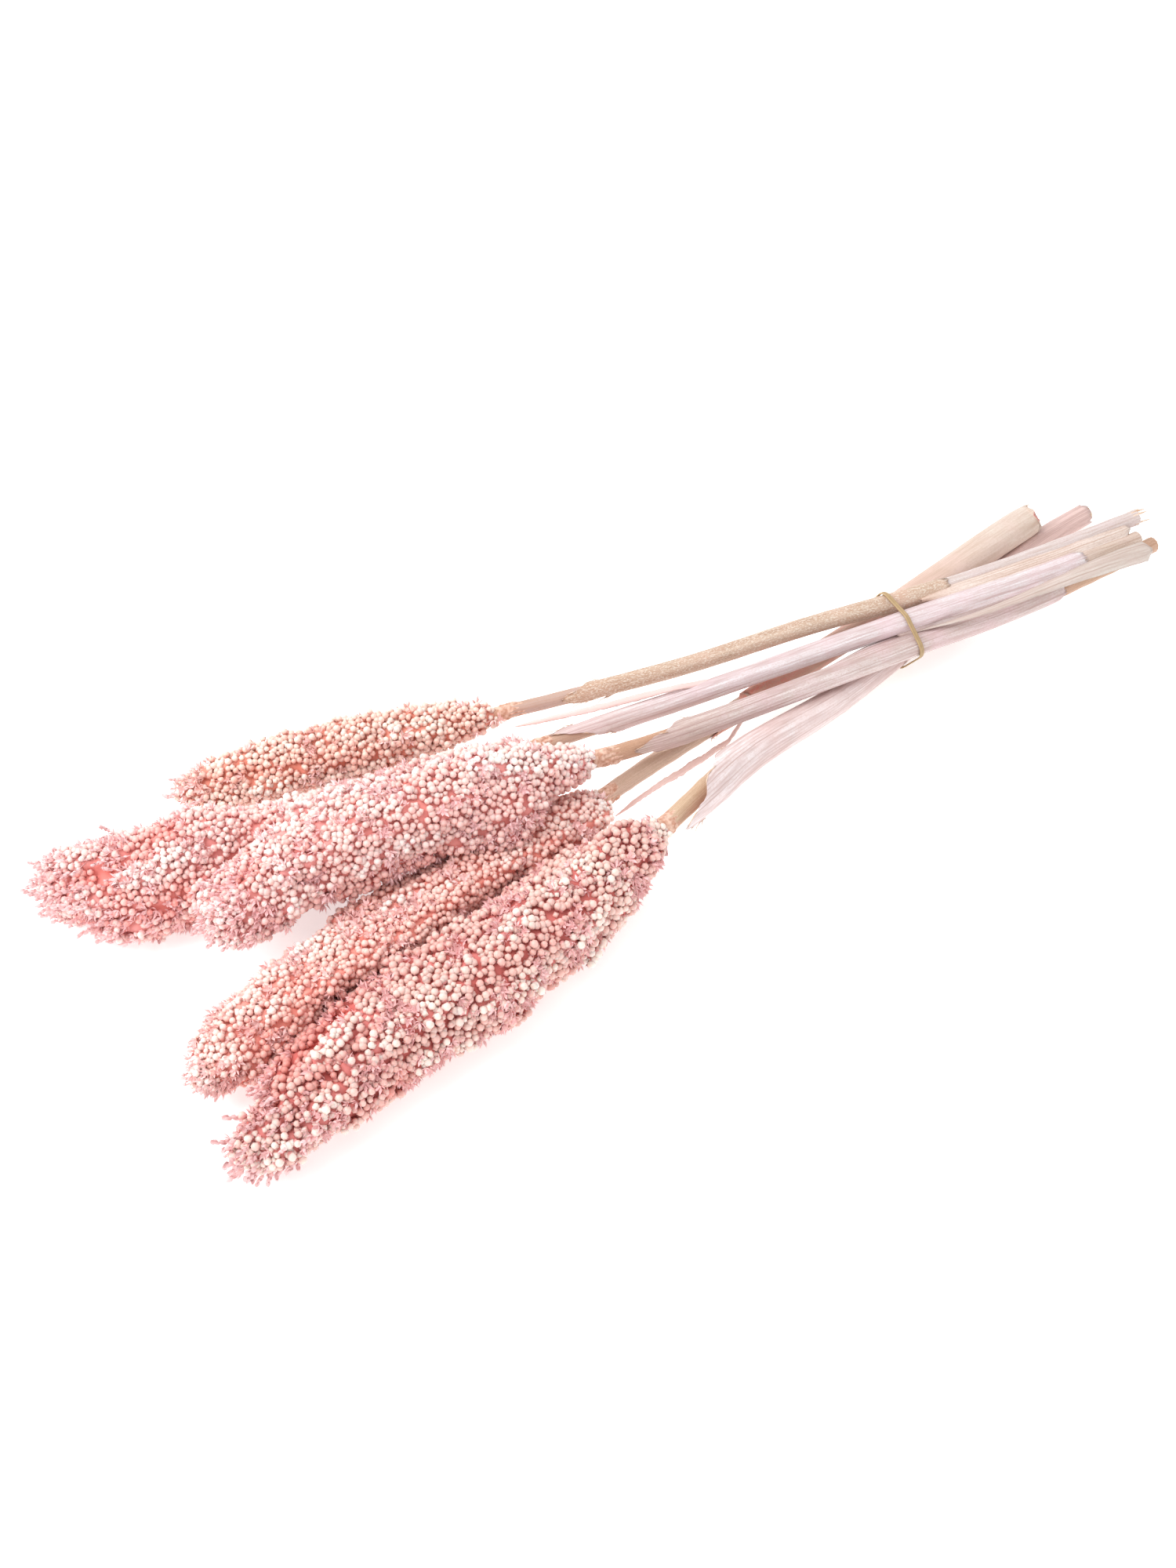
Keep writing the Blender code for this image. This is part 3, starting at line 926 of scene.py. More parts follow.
def sown(skin, name, finish, **values):
    """Sows a shape on a skin and returns the plain mesh."""
    ground = add_piece("ground", skin.copy())
    spread = ground.modifiers.new("sow", "NODES")
    spread.node_group = sow
    set_input(spread, "Finish", finish)
    for key_name, value in values.items():
        set_input(spread, key_name.replace("_", " ").title(), value)
    data = baked(ground, name)
    for corner in data.vertices:
        corner.co.z = max(corner.co.z, LOWEST * MM)
    return data


print("the sowing tree has", len(sow.nodes), "nodes")

# %% [markdown]
# Colours of the heads
#
# The grains are cream at their tops and blush pink towards the foot, where the dyed husks shine
# through. Deep in the clefts everything turns coral and darker: partly the dye of the inner parts,
# partly painted shade. Each head has its own shade, from cream to salmon. One node group mixes foot,
# tip, rose and cleft shades from the numbers that every corner carries, so that grains, husks and
# skin agree. Painting each part by itself would be simpler, but the washes of dye would then break
# off from one part to the next.
# %% The blush group
def shade_group():
    """Mixes foot, tip, rose and cleft colours from the numbers on each corner, the cleft colour as
    painted shade in the deep parts.
    """
    wire = Wiring("blush", "ShaderNodeTree")
    for name in ("Foot", "Tip", "Cleft", "Rose"):
        wire.ask(name, "Color")
    wire.ask_numbers(reach=0.6, variation=0.2, cleft_strength=1.0, rose_strength=0.5)
    wire.give("Color", "Color")
    given = wire.add("NodeGroupInput").outputs
    numbers = {}
    for name in ("rise", "open", "tint", "rosy"):
        numbers[name] = wire.add("ShaderNodeAttribute", attribute_name=name).outputs["Fac"]

    centred = wire.calculate("SUBTRACT", numbers["tint"], 0.5)
    shift = wire.calculate("MULTIPLY", centred, given["Variation"])
    risen = wire.ranged(wire.calculate("ADD", numbers["rise"], shift), 0.0, given["Reach"])
    colour = wire.mixed(risen, given["Foot"], given["Tip"])
    rose = wire.calculate("MULTIPLY", numbers["rosy"], given["Rose Strength"])
    colour = wire.mixed(rose, colour, given["Rose"])
    # Where the skin lies deep, or in a seam between heads, the cleft colour is mixed in: partly the dye
    # of the inner parts, partly painted shade.
    depth = wire.calculate("SUBTRACT", 1.0, numbers["open"])
    deep_shade = wire.calculate("MULTIPLY", depth, given["Cleft Strength"])
    colour = wire.mixed(deep_shade, colour, given["Cleft"])
    bright = wire.calculate("ADD", wire.calculate("MULTIPLY", numbers["tint"], 0.14), 0.93)
    wire.add("NodeGroupOutput", {"Color": wire.stretched(colour, bright)})
    return wire.tree


blush = shade_group()


def linear(red, green, blue):
    """A colour as a picture shows it, 0 to 255, as the light it stands for."""
    return [((value / 255 + 0.055) / 1.055) ** 2.4 for value in (red, green, blue)]


def finish_with(group, name, roughness, colours, **numbers):
    """A material whose colour comes from a group, with these colours and numbers set on it."""
    made, shader, tree = principled(name, roughness=roughness)
    mixer = tree.nodes.new("ShaderNodeGroup")
    mixer.node_tree = group
    for socket, colour in colours.items():
        mixer.inputs[socket].default_value = (*linear(*colour), 1.0)
    for socket, value in numbers.items():
        mixer.inputs[socket.replace("_", " ").title()].default_value = value
    tree.links.new(mixer.outputs["Color"], shader.inputs["Base Color"])
    return made, shader, tree, mixer


# Foot, tip and cleft shades of the grains, foot and tip shades of the husks, and the rosy shade.
# The cleft shade is partly the dye of the deep parts and partly painted shade for them.
SHADES = {
    1: (
        (247, 184, 167), (252, 236, 225), (230, 134, 110),
        (244, 184, 170), (252, 216, 208), (242, 172, 160),
    ),
    2: (
        (252, 200, 196), (255, 244, 238), (242, 148, 138),
        (247, 188, 188), (254, 225, 224), (248, 184, 184),
    ),
    3: (
        (250, 194, 188), (255, 243, 237), (234, 138, 126),
        (246, 184, 185), (254, 222, 222), (244, 178, 178),
    ),
    4: (
        (251, 192, 180), (255, 241, 234), (242, 146, 130),
        (248, 188, 180), (254, 220, 218), (244, 176, 166),
    ),
    5: (
        (236, 170, 158), (252, 240, 229), (206, 96, 86),
        (236, 162, 160), (248, 206, 205), (228, 158, 156),
    ),
}

print("the blush group has", len(blush.nodes), "nodes")

# %% [markdown]
# Sowing the heads
#
# Each head gets six layers. The skin itself, thinned out, closes the view between the grains. A
# lower layer of simple grains lies on it, then come the full grains with their husks, patches of
# florets where the head is in flower, and branchlets that make the tip feathery. The grains let
# some light through, as real ones do, so their finish scatters it under the surface. One dense
# layer of grains would look like gravel, because the gaps and the florets give a head its depth.
# %% Sow the heads
def keep(name, data, slot, *nodes):
    """A finished piece in the scene: it rides on the bunch, and the nodes it takes the place of are
    hidden.
    """
    made = add_piece(name, data)
    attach(made, "root")
    if nodes:
        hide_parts(*nodes)
    return made


SPRAY_LENGTHS = {1: 8.0, 2: 7.5, 3: 7.0, 4: 5.0, 5: 9.0}
# How far up each grain the shade of its foot reaches.
GRAIN_FOOT = {1: 0.52, 2: 0.46, 3: 0.42, 4: 0.44, 5: 0.42}
# Spacing of the grains and of the lower grains, against their size, and how many are tried.
GRAIN_SPACING = 0.69
LOWER_SPACING = 0.70
CROWDING = 9.0
# How far light goes under a grain's surface, and how much of it is red, green and blue.
GLOW_DEPTH = 2.5
GLOW_COLOUR = (1.0, 0.55, 0.45)
GLOW_SHARE = 0.4
FLORET = (252, 221, 221)
SKIN_FACES = 0.25


def head_finishes(number):
    """The finishes of a head's grains, husks, florets and skin."""
    foot, tip, cleft_shade, husk_foot, husk_tip, rose = SHADES[number]
    # The skin's foot shade lies halfway between the cleft's painted shade and the husks' foot.
    bed_and_cleft_shade = [(deep_shade + pale) / 2 for deep_shade, pale in zip(cleft_shade, husk_foot)]
    # Roughness, foot and tip shades, the cleft's painted shade, reach, variation, how much cleft shade is
    # mixed in, and rosiness.
    shades = {
        "grain": (0.42, foot, tip, cleft_shade, GRAIN_FOOT[number], 0.5, 0.92, 0.25),
        "husk": (0.6, husk_foot, husk_tip, cleft_shade, 0.9, 0.6, 0.6, 0.3),
        "floret": (0.6, husk_tip, FLORET, husk_foot, 0.8, 0.7, 0.5, 0.25),
        "branch": (0.8, bed_and_cleft_shade, husk_foot, cleft_shade, 1.0, 0.4, 1.0, 0.3),
    }
    finishes = {}
    for part, (roughness, low, high, deep_shade, reach, variation, cleft_shade_share, rosiness) in shades.items():
        finishes[part], shader, _, _ = finish_with(
            blush, f"{part}_{number}", roughness, {"Foot": low, "Tip": high, "Cleft": deep_shade, "Rose": rose},
            reach=reach, variation=variation, cleft_strength=cleft_shade_share, rose_strength=rosiness,
        )
        if part == "grain":
            shader.inputs["Subsurface Weight"].default_value = GLOW_SHARE
            shader.inputs["Subsurface Scale"].default_value = GLOW_DEPTH * MM
            shader.inputs["Subsurface Radius"].default_value = GLOW_COLOUR
    return finishes


def sow_head(number, head):
    """Every layer of one head, from the grains to the sprays at its tip, as plain meshes."""
    finishes = head_finishes(number)
    size = GRAIN_SIZES[number] * MM
    crowding = CROWDING / size ** 2

    def layer(name, part, shape, **values):
        values.update(shape=sown_shapes[shape], tip_way=head.towards_tip)
        return sown(skins[number], f"head_{number}_{name}", finishes[part], **values)

    place = {"seed": number, "spacing": size * GRAIN_SPACING, "crowding": crowding, "size": size}
    place.update(size_spread=0.17, lift=0.02 * size, lift_spread=0.32 * size, favour="grainy")
    place.update(lean=0.35, unruliness=0.45)
    grains = layer("grains", "grain", "grain", **place)
    husks = layer("husks", "husk", "husk", **place)
    lower = layer(
        "lower_grains", "grain", "under_grain", seed=number + 40, spacing=size * LOWER_SPACING,
        crowding=crowding, size=size * 0.92, size_spread=0.1, lean=0.3, unruliness=0.5,
        lift=-0.22 * size, lift_spread=0.12 * size,
    )
    florets = layer(
        "florets", "floret", "floret", seed=number + 20, favour="flowery", spacing=2.8 * MM,
        crowding=900000.0, size=6.4 * MM, size_spread=0.35, lean=0.8, unruliness=0.9,
        lift=1.7 * MM, lift_spread=1.0 * MM,
    )
    sprays = layer(
        "sprays", "floret", "spray", seed=number + 60, favour="tippy", spacing=4.0 * MM,
        crowding=600000.0, size=SPRAY_LENGTHS[number] * MM, size_spread=0.35, lean=2.2,
        unruliness=0.9, lift=0.5 * MM, lift_spread=0.5 * MM,
    )
    thin = add_piece("thin", skins[number].copy(), finishes["branch"])
    thin.modifiers.new("fewer", "DECIMATE").ratio = SKIN_FACES
    branches = baked(thin, f"head_{number}_branches")
    branches.shade_smooth()
    return grains, lower, branches, husks, florets, sprays


for number, head in heads.items():
    layers = sow_head(number, head)
    counts = [triangles(data) for data in layers]
    grains = counts[0] // triangles(sown_shapes["grain"].data)
    print(f"head {number}: {grains} grains, triangles {counts}")
    keep(layers[0].name, layers[0], "seed_heads", f"head_{number}")
    for data in layers[1:3]:
        keep(data.name, data, "seed_heads")
    for data in layers[3:]:
        keep(data.name, data, "husks")

for item in sown_shapes.values():
    bpy.data.objects.remove(item)

# %% [markdown]
# Fibres of straw and leaf
#
# Stalks, sheaths and torn leaf are all bundles of long fibres. Their finish has pale and dark
# streaks that run along the piece, small specks, and washes of pink dye. A noise in the usual
# coordinates would cut across every bend, so each piece carries a straightened position on its
# corners, "fibre", as if the stem had been pulled straight, and the noise is stretched along it.
# %% The fibre group
# Fibres run along the third number: a noise is squeezed by these factors to stretch it that way.
FINE_STRETCH = (1.0, 1.0, 0.035)
BROAD_STRETCH = (0.35, 0.35, 0.01)
SPECK_STRETCH = (1.3, 1.3, 0.55)
SWAY_STRETCH = (0.08, 0.08, 0.003)
LINE_STRETCH = (0.42, 0.42, 0.006)
DYE_SIZE = 42.0


def fibre_group():
    """Colour and height of fibrous straw, from straightened positions."""
    wire = Wiring("fibre", "ShaderNodeTree")
    for name in ("Straw", "Streak", "Speck", "Dye", "Start"):
        wire.ask(name, "Color")
    wire.ask_numbers(fineness=1500.0, veins=0.5, lines=0.0, line_count=24.0, specks=0.3)
    wire.ask_numbers(dye_strength=0.4, start_length=0.02, start_strength=0.0)
    wire.give("Color", "Color")
    wire.give("Height", "Float")
    given = wire.add("NodeGroupInput").outputs
    place = wire.add("ShaderNodeAttribute", attribute_name="fibre").outputs["Vector"]

    def stretched_noise(stretch, detail, roughness=0.6):
        return wire.noise(wire.vector("MULTIPLY", across, stretch), detail, roughness)

    across = wire.stretched(place, given["Fineness"])
    fine = stretched_noise(FINE_STRETCH, 4.0)
    broad = wire.calculate("MULTIPLY", stretched_noise(BROAD_STRETCH, 2.0), 0.8)
    streak = wire.ranged(wire.calculate("ADD", fine, broad), 0.68, 1.1)
    speck = wire.ranged(stretched_noise(SPECK_STRETCH, 3.0, 0.7), 0.5, 0.6)
    dye = wire.ranged(wire.noise(wire.stretched(place, DYE_SIZE), 2.0), 0.42, 0.68)

    parts = wire.add("ShaderNodeSeparateXYZ", {0: place})
    angle = wire.calculate("ARCTAN2", parts.outputs["Y"], parts.outputs["X"])
    sway = wire.calculate("MULTIPLY", stretched_noise(SWAY_STRETCH, 1.0), 5.0)
    turned = wire.calculate("MULTIPLY", angle, given["Line Count"])
    wave = wire.calculate("COSINE", wire.calculate("ADD", turned, sway))
    each = wire.ranged(stretched_noise(LINE_STRETCH, 2.0), 0.4, 0.62)
    line = wire.calculate("MULTIPLY", wire.ranged(wave, 0.2, 0.95), each)
    line = wire.calculate("MULTIPLY", line, given["Lines"])

    started = wire.ranged(parts.outputs["Z"], 0.0, given["Start Length"])
    near_start = wire.calculate("SUBTRACT", 1.0, started)
    near_start = wire.calculate("MULTIPLY", near_start, given["Start Strength"])
    colour = wire.mixed(near_start, given["Straw"], given["Start"])
    colour = wire.mixed(wire.calculate("MULTIPLY", streak, given["Veins"]), colour, given["Streak"])
    colour = wire.mixed(wire.calculate("MULTIPLY", dye, given["Dye Strength"]), colour, given["Dye"])
    colour = wire.mixed(line, colour, given["Streak"])
    colour = wire.mixed(wire.calculate("MULTIPLY", speck, given["Specks"]), colour, given["Speck"])
    pits = wire.calculate("MULTIPLY", speck, 0.3)
    pits = wire.calculate("ADD", pits, wire.calculate("MULTIPLY", line, 0.7))
    height = wire.calculate("SUBTRACT", fine, pits)
    wire.add("NodeGroupOutput", {"Color": colour, "Height": height})
    return wire.tree


fibre = fibre_group()


# How deep the relief of the fibres is, and the radius of the stem that a piece is rolled off to.
RELIEF = 0.3
STRAIGHT_RADIUS = 5.0


def add_relief(tree, shader, height, strength, distance):
    """Gives a material a relief."""
    relief = tree.nodes.new("ShaderNodeBump")
    relief.inputs["Strength"].default_value = strength
    relief.inputs["Distance"].default_value = distance * MM
    tree.links.new(height, relief.inputs["Height"])
    tree.links.new(relief.outputs["Normal"], shader.inputs["Normal"])


def straw_finish(name, colours, roughness=0.6, relief=0.35, **numbers):
    """A fibrous finish: straw, streak, speck, dye and start colours, then the group's numbers."""
    named = dict(zip(("Straw", "Streak", "Speck", "Dye", "Start"), colours))
    made, shader, tree, mixer = finish_with(fibre, name, roughness, named, **numbers)
    add_relief(tree, shader, mixer.outputs["Height"], relief, RELIEF)
    return made


def mottled_finish(name, roughness, pattern, dark, light, **settings):
    """A finish that wanders between two shades: each has its colour and its place in the pattern."""
    made, shader, tree = principled(name, roughness=roughness)
    place = tree.nodes.new("ShaderNodeTexCoord")
    texture = tree.nodes.new(pattern)
    shade = tree.nodes.new("ShaderNodeValToRGB")
    for socket, value in settings.items():
        texture.inputs[socket].default_value = value
    for element, (colour, at) in zip(shade.color_ramp.elements, (dark, light)):
        element.color = (*linear(*colour), 1.0)
        element.position = at
    wanders = texture.outputs["Distance" if "Distance" in texture.outputs else "Fac"]
    tree.links.new(place.outputs["Object"], texture.inputs["Vector"])
    tree.links.new(wanders, shade.inputs["Fac"])
    tree.links.new(shade.outputs["Color"], shader.inputs["Base Color"])
    return made, shader, tree, wanders


def straight_place(angle, length):
    """Where a point would be if the stem were pulled straight."""
    radius = STRAIGHT_RADIUS * MM
    return radius * math.cos(angle), radius * math.sin(angle), length


def write_fibre(data, straight):
    """Writes the straightened positions on a mesh."""
    layer = data.attributes.new("fibre", "FLOAT_VECTOR", "POINT")
    layer.data.foreach_set("vector", [number for place in straight for number in place])


print("the fibre group has", len(fibre.nodes), "nodes")

# %% [markdown]
# The stalks
#
# A stalk is a stiff round straw with fine ribs, full of light pith, and cut straight across. A
# cylinder would be too even, so a Geometry Nodes tree sweeps a ribbed ring along the stalk's
# measured centre line. The line's own radius gives the swollen node ring. The tree also writes
# the straightened position that the fibre group reads, and gives the cut ends the pith's finish.
# %% The stalk tree
BUMP_STRETCH = (260.0, 260.0, 60.0)


def stalk_tree():
    """Sweeps a ribbed ring along a path."""
    wire = Wiring("stalk", "GeometryNodeTree")
    wire.ask("Path", "Geometry")
    wire.ask("Around", "Int", 24)
    wire.ask_numbers(step=0.0025, ribs=11.0, rib_height=0.03, unevenness=0.0003)
    wire.ask("Finish", "Material")
    wire.ask("Pith", "Material")
    wire.give("Stalk", "Geometry")
    given = wire.add("NodeGroupInput").outputs

    lengths = {"Curve": given["Path"], "Length": given["Step"]}
    along = wire.add("GeometryNodeResampleCurve", lengths, mode="LENGTH")
    passed = wire.add("GeometryNodeSplineParameter").outputs["Length"]
    path = wire.store(along.outputs[0], "along", passed)
    round_once = {"Resolution": given["Around"], "Radius": 1.0}
    ring = wire.add("GeometryNodeCurvePrimitiveCircle", round_once, mode="RADIUS")
    turn = wire.add("GeometryNodeSplineParameter").outputs["Factor"]
    angle = wire.calculate("MULTIPLY", turn, 2 * math.pi)
    wave = wire.calculate("COSINE", wire.calculate("MULTIPLY", angle, given["Ribs"]))
    rib = wire.calculate("ADD", 1.0, wire.calculate("MULTIPLY", wave, given["Rib Height"]))
    here = wire.add("GeometryNodeInputPosition").outputs[0]
    ribbed = wire.add("GeometryNodeSetPosition", {
        "Geometry": wire.store(ring.outputs[0], "angle", angle),
        "Position": wire.stretched(here, rib),
    })
    swept = wire.add("GeometryNodeCurveToMesh", {
        "Curve": path,
        "Profile Curve": ribbed.outputs[0],
        "Fill Caps": True,
        "Scale": wire.add("GeometryNodeInputRadius").outputs[0],
    })

    straight = wire.add("ShaderNodeCombineXYZ", {"Z": wire.stored("along")})
    around = wire.stored("angle")
    for axis, operation in (("X", "COSINE"), ("Y", "SINE")):
        turned = wire.calculate(operation, around)
        wire.feed(straight.inputs[axis], wire.calculate("MULTIPLY", turned, STRAIGHT_RADIUS * MM))
    marked = wire.store(swept.outputs[0], "fibre", straight.outputs[0], "FLOAT_VECTOR")
    bumps = wire.add("ShaderNodeTexNoise", {
        "Vector": wire.vector("MULTIPLY", straight.outputs[0], BUMP_STRETCH),
        "Scale": 1.0,
    })
    centred = wire.calculate("SUBTRACT", bumps.outputs["Fac"], 0.5)
    push = wire.calculate("MULTIPLY", centred, wire.calculate("MULTIPLY", given["Unevenness"], 2.0))
    outwards = wire.add("GeometryNodeInputNormal").outputs[0]
    uneven = wire.add("GeometryNodeSetPosition", {
        "Geometry": marked,
        "Offset": wire.stretched(outwards, push),
    })

    sides = wire.add("GeometryNodeCornersOfFace").outputs["Total"]
    ends = wire.add("GeometryNodeSetMaterial", {
        "Geometry": wire.made_real(uneven.outputs[0], given["Finish"]),
        "Selection": wire.calculate("GREATER_THAN", sides, 4.5),
        "Material": given["Pith"],
    })
    wire.add("NodeGroupOutput", {"Stalk": ends.outputs[0]})
    return wire.tree


sweep = stalk_tree()
print("the stalk tree has", len(sweep.nodes), "nodes")

# %% The centre lines of the stalks
SLICES = 130
# The plain tube's corners lie on its true radius, and a slice of it is a little narrower.
ROUNDING = 1.03
# Corners that lie this near the outmost one belong to the end, and slices start this far from it.
END_REACH = 11.0
END_INSET = 0.5


class Stalk:
    """The measured centre line of a stalk, with its length up to each place."""

    def __init__(self, number):
        mesh = merged_copy(f"stalk_{number}")
        points = corner_points(mesh)
        ends = []
        for corner in (points[points[:, 0].argmin()], points[points[:, 0].argmax()]):
            near = np.linalg.norm(points - corner, axis=1) < END_REACH * MM
            ends.append(points[near].mean(axis=0))
        inset = (ends[1] - ends[0]) / np.linalg.norm(ends[1] - ends[0]) * END_INSET * MM
        line = centre_line(mesh, ends[0] + inset, ends[1] - inset, SLICES)
        mesh.free()
        self.places = [Vector(ends[0])] + [place for place, _ in line[1:-1]] + [Vector(ends[1])]
        radii = [radius * ROUNDING for _, radius in line]
        self.radii = [radii[0]] + radii[1:-1] + [radii[-1]]
        self.frames = frames_along(self.places)
        self.lengths = [0.0]
        for a, b in zip(self.places, self.places[1:]):
            self.lengths.append(self.lengths[-1] + (b - a).length)

    def at(self, length):
        """Place, direction, side, lift and radius at a length from the head."""
        length = min(max(length, 0.0), self.lengths[-1])
        low = int(np.searchsorted(self.lengths, length, side="right")) - 1
        low = min(max(low, 0), len(self.lengths) - 2)
        part = (length - self.lengths[low]) / (self.lengths[low + 1] - self.lengths[low])
        place = self.places[low].lerp(self.places[low + 1], part)
        radius = self.radii[low] + (self.radii[low + 1] - self.radii[low]) * part
        return (place, *self.frames[low], radius)

    def length_at(self, x):
        """The length at which the stalk passes this x."""
        return float(np.interp(x, [place.x for place in self.places], self.lengths))


stalks = {number: Stalk(number) for number in heads}
for number, stalk in stalks.items():
    thick = 2 * max(stalk.radii) / MM
    print(f"stalk {number}: {stalk.lengths[-1] / MM:.0f} mm long, up to {thick:.1f} mm thick")

# %% Sweep the stalks
# Straw, streak, speck, dye and start shades of each stalk.
STRAW = {
    1: ((228, 219, 217), (193, 169, 160), (178, 146, 128), (220, 197, 200), (185, 134, 102)),
    2: ((224, 209, 196), (181, 150, 130), (166, 132, 112), (218, 193, 188), (212, 174, 148)),
    3: ((214, 181, 156), (181, 138, 110), (158, 116, 90), (220, 177, 160), (204, 160, 134)),
    4: ((218, 204, 190), (189, 159, 137), (173, 138, 115), (217, 191, 179), (216, 184, 166)),
    5: ((222, 201, 180), (189, 154, 124), (174, 132, 102), (226, 195, 184), (216, 190, 162)),
}
# The rind's rim round the pith, how wide its inner step is and how far the pith is sunk.
PITH_RIM = 0.7
PITH_STEP = 0.15
PITH_SUNK = 0.35
SHARP_ANGLE = math.radians(50)
pith_finish = mottled_finish(
    "pith", 0.85, "ShaderNodeTexVoronoi", ((176, 134, 96), 0.12), ((238, 220, 196), 0.38),
    Scale=1400.0,
)[0]


def sink_pith(data):
    """Leaves a rim of rind at each cut end, and sinks the pith a little inside it."""
    mesh = bmesh.new()
    mesh.from_mesh(data)
    caps = [face for face in mesh.faces if len(face.verts) > 4]
    bmesh.ops.inset_individual(mesh, faces=caps, thickness=PITH_RIM * MM, depth=0.0)
    bmesh.ops.inset_individual(mesh, faces=caps, thickness=PITH_STEP * MM, depth=-PITH_SUNK * MM)
    mesh.to_mesh(data)
    mesh.free()


def sweep_stalk(number, stalk):
    """One stalk, swept along its centre line."""
    line = bpy.data.curves.new(f"stalk_path_{number}", "CURVE")
    line.dimensions = "3D"
    spline = line.splines.new("POLY")
    spline.points.add(len(stalk.places) - 1)
    for point, place, radius in zip(spline.points, stalk.places, stalk.radii):
        point.co = (*place, 1.0)
        point.radius = radius
    straw = straw_finish(
        f"straw_{number}", STRAW[number], 0.55, fineness=1700.0, veins=0.8, specks=0.3,
        lines=0.55, line_count=18.0, dye_strength=0.35, start_length=0.24, start_strength=1.0,
    )
    path = add_piece(f"stalk_path_{number}", line)
    grow = path.modifiers.new("sweep", "NODES")
    grow.node_group = sweep
    set_input(grow, "Finish", straw)
    set_input(grow, "Pith", pith_finish)
    set_input(grow, "Ribs", 9.0 + number)
    data = baked(path, f"stalk_{number}_straw")
    sink_pith(data)
    data.shade_smooth()
    data.set_sharp_from_angle(angle=SHARP_ANGLE)
    return keep(data.name, data, "stalks", f"stalk_{number}")


for number, stalk in stalks.items():
    made = sweep_stalk(number, stalk)
    print(made.name, len(made.data.polygons), "faces")

# %% [markdown]
# The necks
#
# Below its lowest grains a head shows its bare foot, where stubs of thin branches hug the stalk.
# A collar and a dozen short tubes, melted together as the heads' skins are, give that knotty
# look. Bump alone wouldn't do here, because the neck is seen against the white table.
# %% The necks
NECK_REACH = {1: 12.0, 2: 9.0, 3: 12.0, 4: 10.0, 5: 9.0}
NECK_STEPS = 5
# How far the collar reaches into the head, and how much it stands off the stalk at the head.
NECK_INTO_HEAD = 6.0
NECK_PROUD = 0.25
NECK_STUBS = 12
STUB_LENGTH = (3.0, 7.5)
STUB_RISE = (0.2, 0.8)
STUB_RADIUS = (0.7, 1.15)
NECK_VOXEL = 0.45
neck_finish, neck_shader, neck_tree, neck_pattern = mottled_finish(
    "rachis", 0.7, "ShaderNodeTexNoise", ((190, 138, 114), 0.36), ((230, 194, 174), 0.62),
    Scale=420.0, Detail=4.0,
)
add_relief(neck_tree, neck_shader, neck_pattern, 0.5, 0.4)


def add_stub(shapes, stalk, draw, reach):
    """The stub of a low branch, which leaves the stalk and leans to the head."""
    place, direction, side, lift, radius = stalk.at(draw.uniform(0.15, 1.0) * reach)
    way = way_round(side, lift, draw.uniform(0, 2 * math.pi))
    length = draw.uniform(*STUB_LENGTH) * MM
    rise = draw.uniform(*STUB_RISE) * MM
    path = [
        place + way * (radius - 0.5 * MM),
        place + way * (radius + 0.15 * MM) - direction * length * 0.4,
        place + way * (radius + rise) - direction * length,
    ]
    thick = draw.uniform(*STUB_RADIUS) * MM
    shapes.add(*tube(path, [thick * 0.8, thick, thick * 0.6], 6))


def make_neck(number, stalk):
    """The bare foot of a head: a collar, and stubs of its lowest branches that hug the stalk."""
    draw = np.random.default_rng(120 + number)
    shapes = Gather()
    reach = NECK_REACH[number] * MM
    stations = [stalk.at(reach * step / NECK_STEPS) for step in range(NECK_STEPS + 1)]
    places = [stalk.places[0] - stalk.frames[0][0] * NECK_INTO_HEAD * MM]
    places += [station[0] for station in stations]
    radii = [stations[0][4]]
    for row, station in enumerate(stations):
        radii.append(station[4] + NECK_PROUD * MM * (NECK_STEPS - row) / NECK_STEPS)
    shapes.add(*tube(places, radii, 14))
    for _ in range(NECK_STUBS):
        add_stub(shapes, stalk, draw, reach)
    data = moulded(shapes, f"head_{number}_rachis", NECK_VOXEL, smoothing=2)
    data.materials.append(neck_finish)
    data.shade_smooth()
    return keep(data.name, data, "stalks")


for number, stalk in stalks.items():
    made = make_neck(number, stalk)
    print(made.name, len(made.data.polygons), "faces")

# %% [markdown]
# The leaf sheaths
#
# A dried leaf sheath is a thin sheet rolled round its stalk and open along one side. Its top
# tears off in a point, its edges split between the fibres and curl a little, and one can look
# into it where it gapes. It is made as a sheet of rows and columns: rays from the stalk's centre
# line measure how far round the plain wall reaches and how far off it stands. The edges are then
# torn by a noise, and Solidify gives the sheet its thickness and its inner face a shade of its own.
# %% Measuring a sheath
RAY_STEPS = 72
ROW_STEP = 3.0
SMOOTH_ROWS = 5
MOST_STANDING = 22.0
# The plain wall's own ends are left out.
WALL_INSET = 0.8
# An arc as wide as this tells how the sheath stands off, and a narrower one takes that over.
WIDE_ARC = math.pi * 0.9


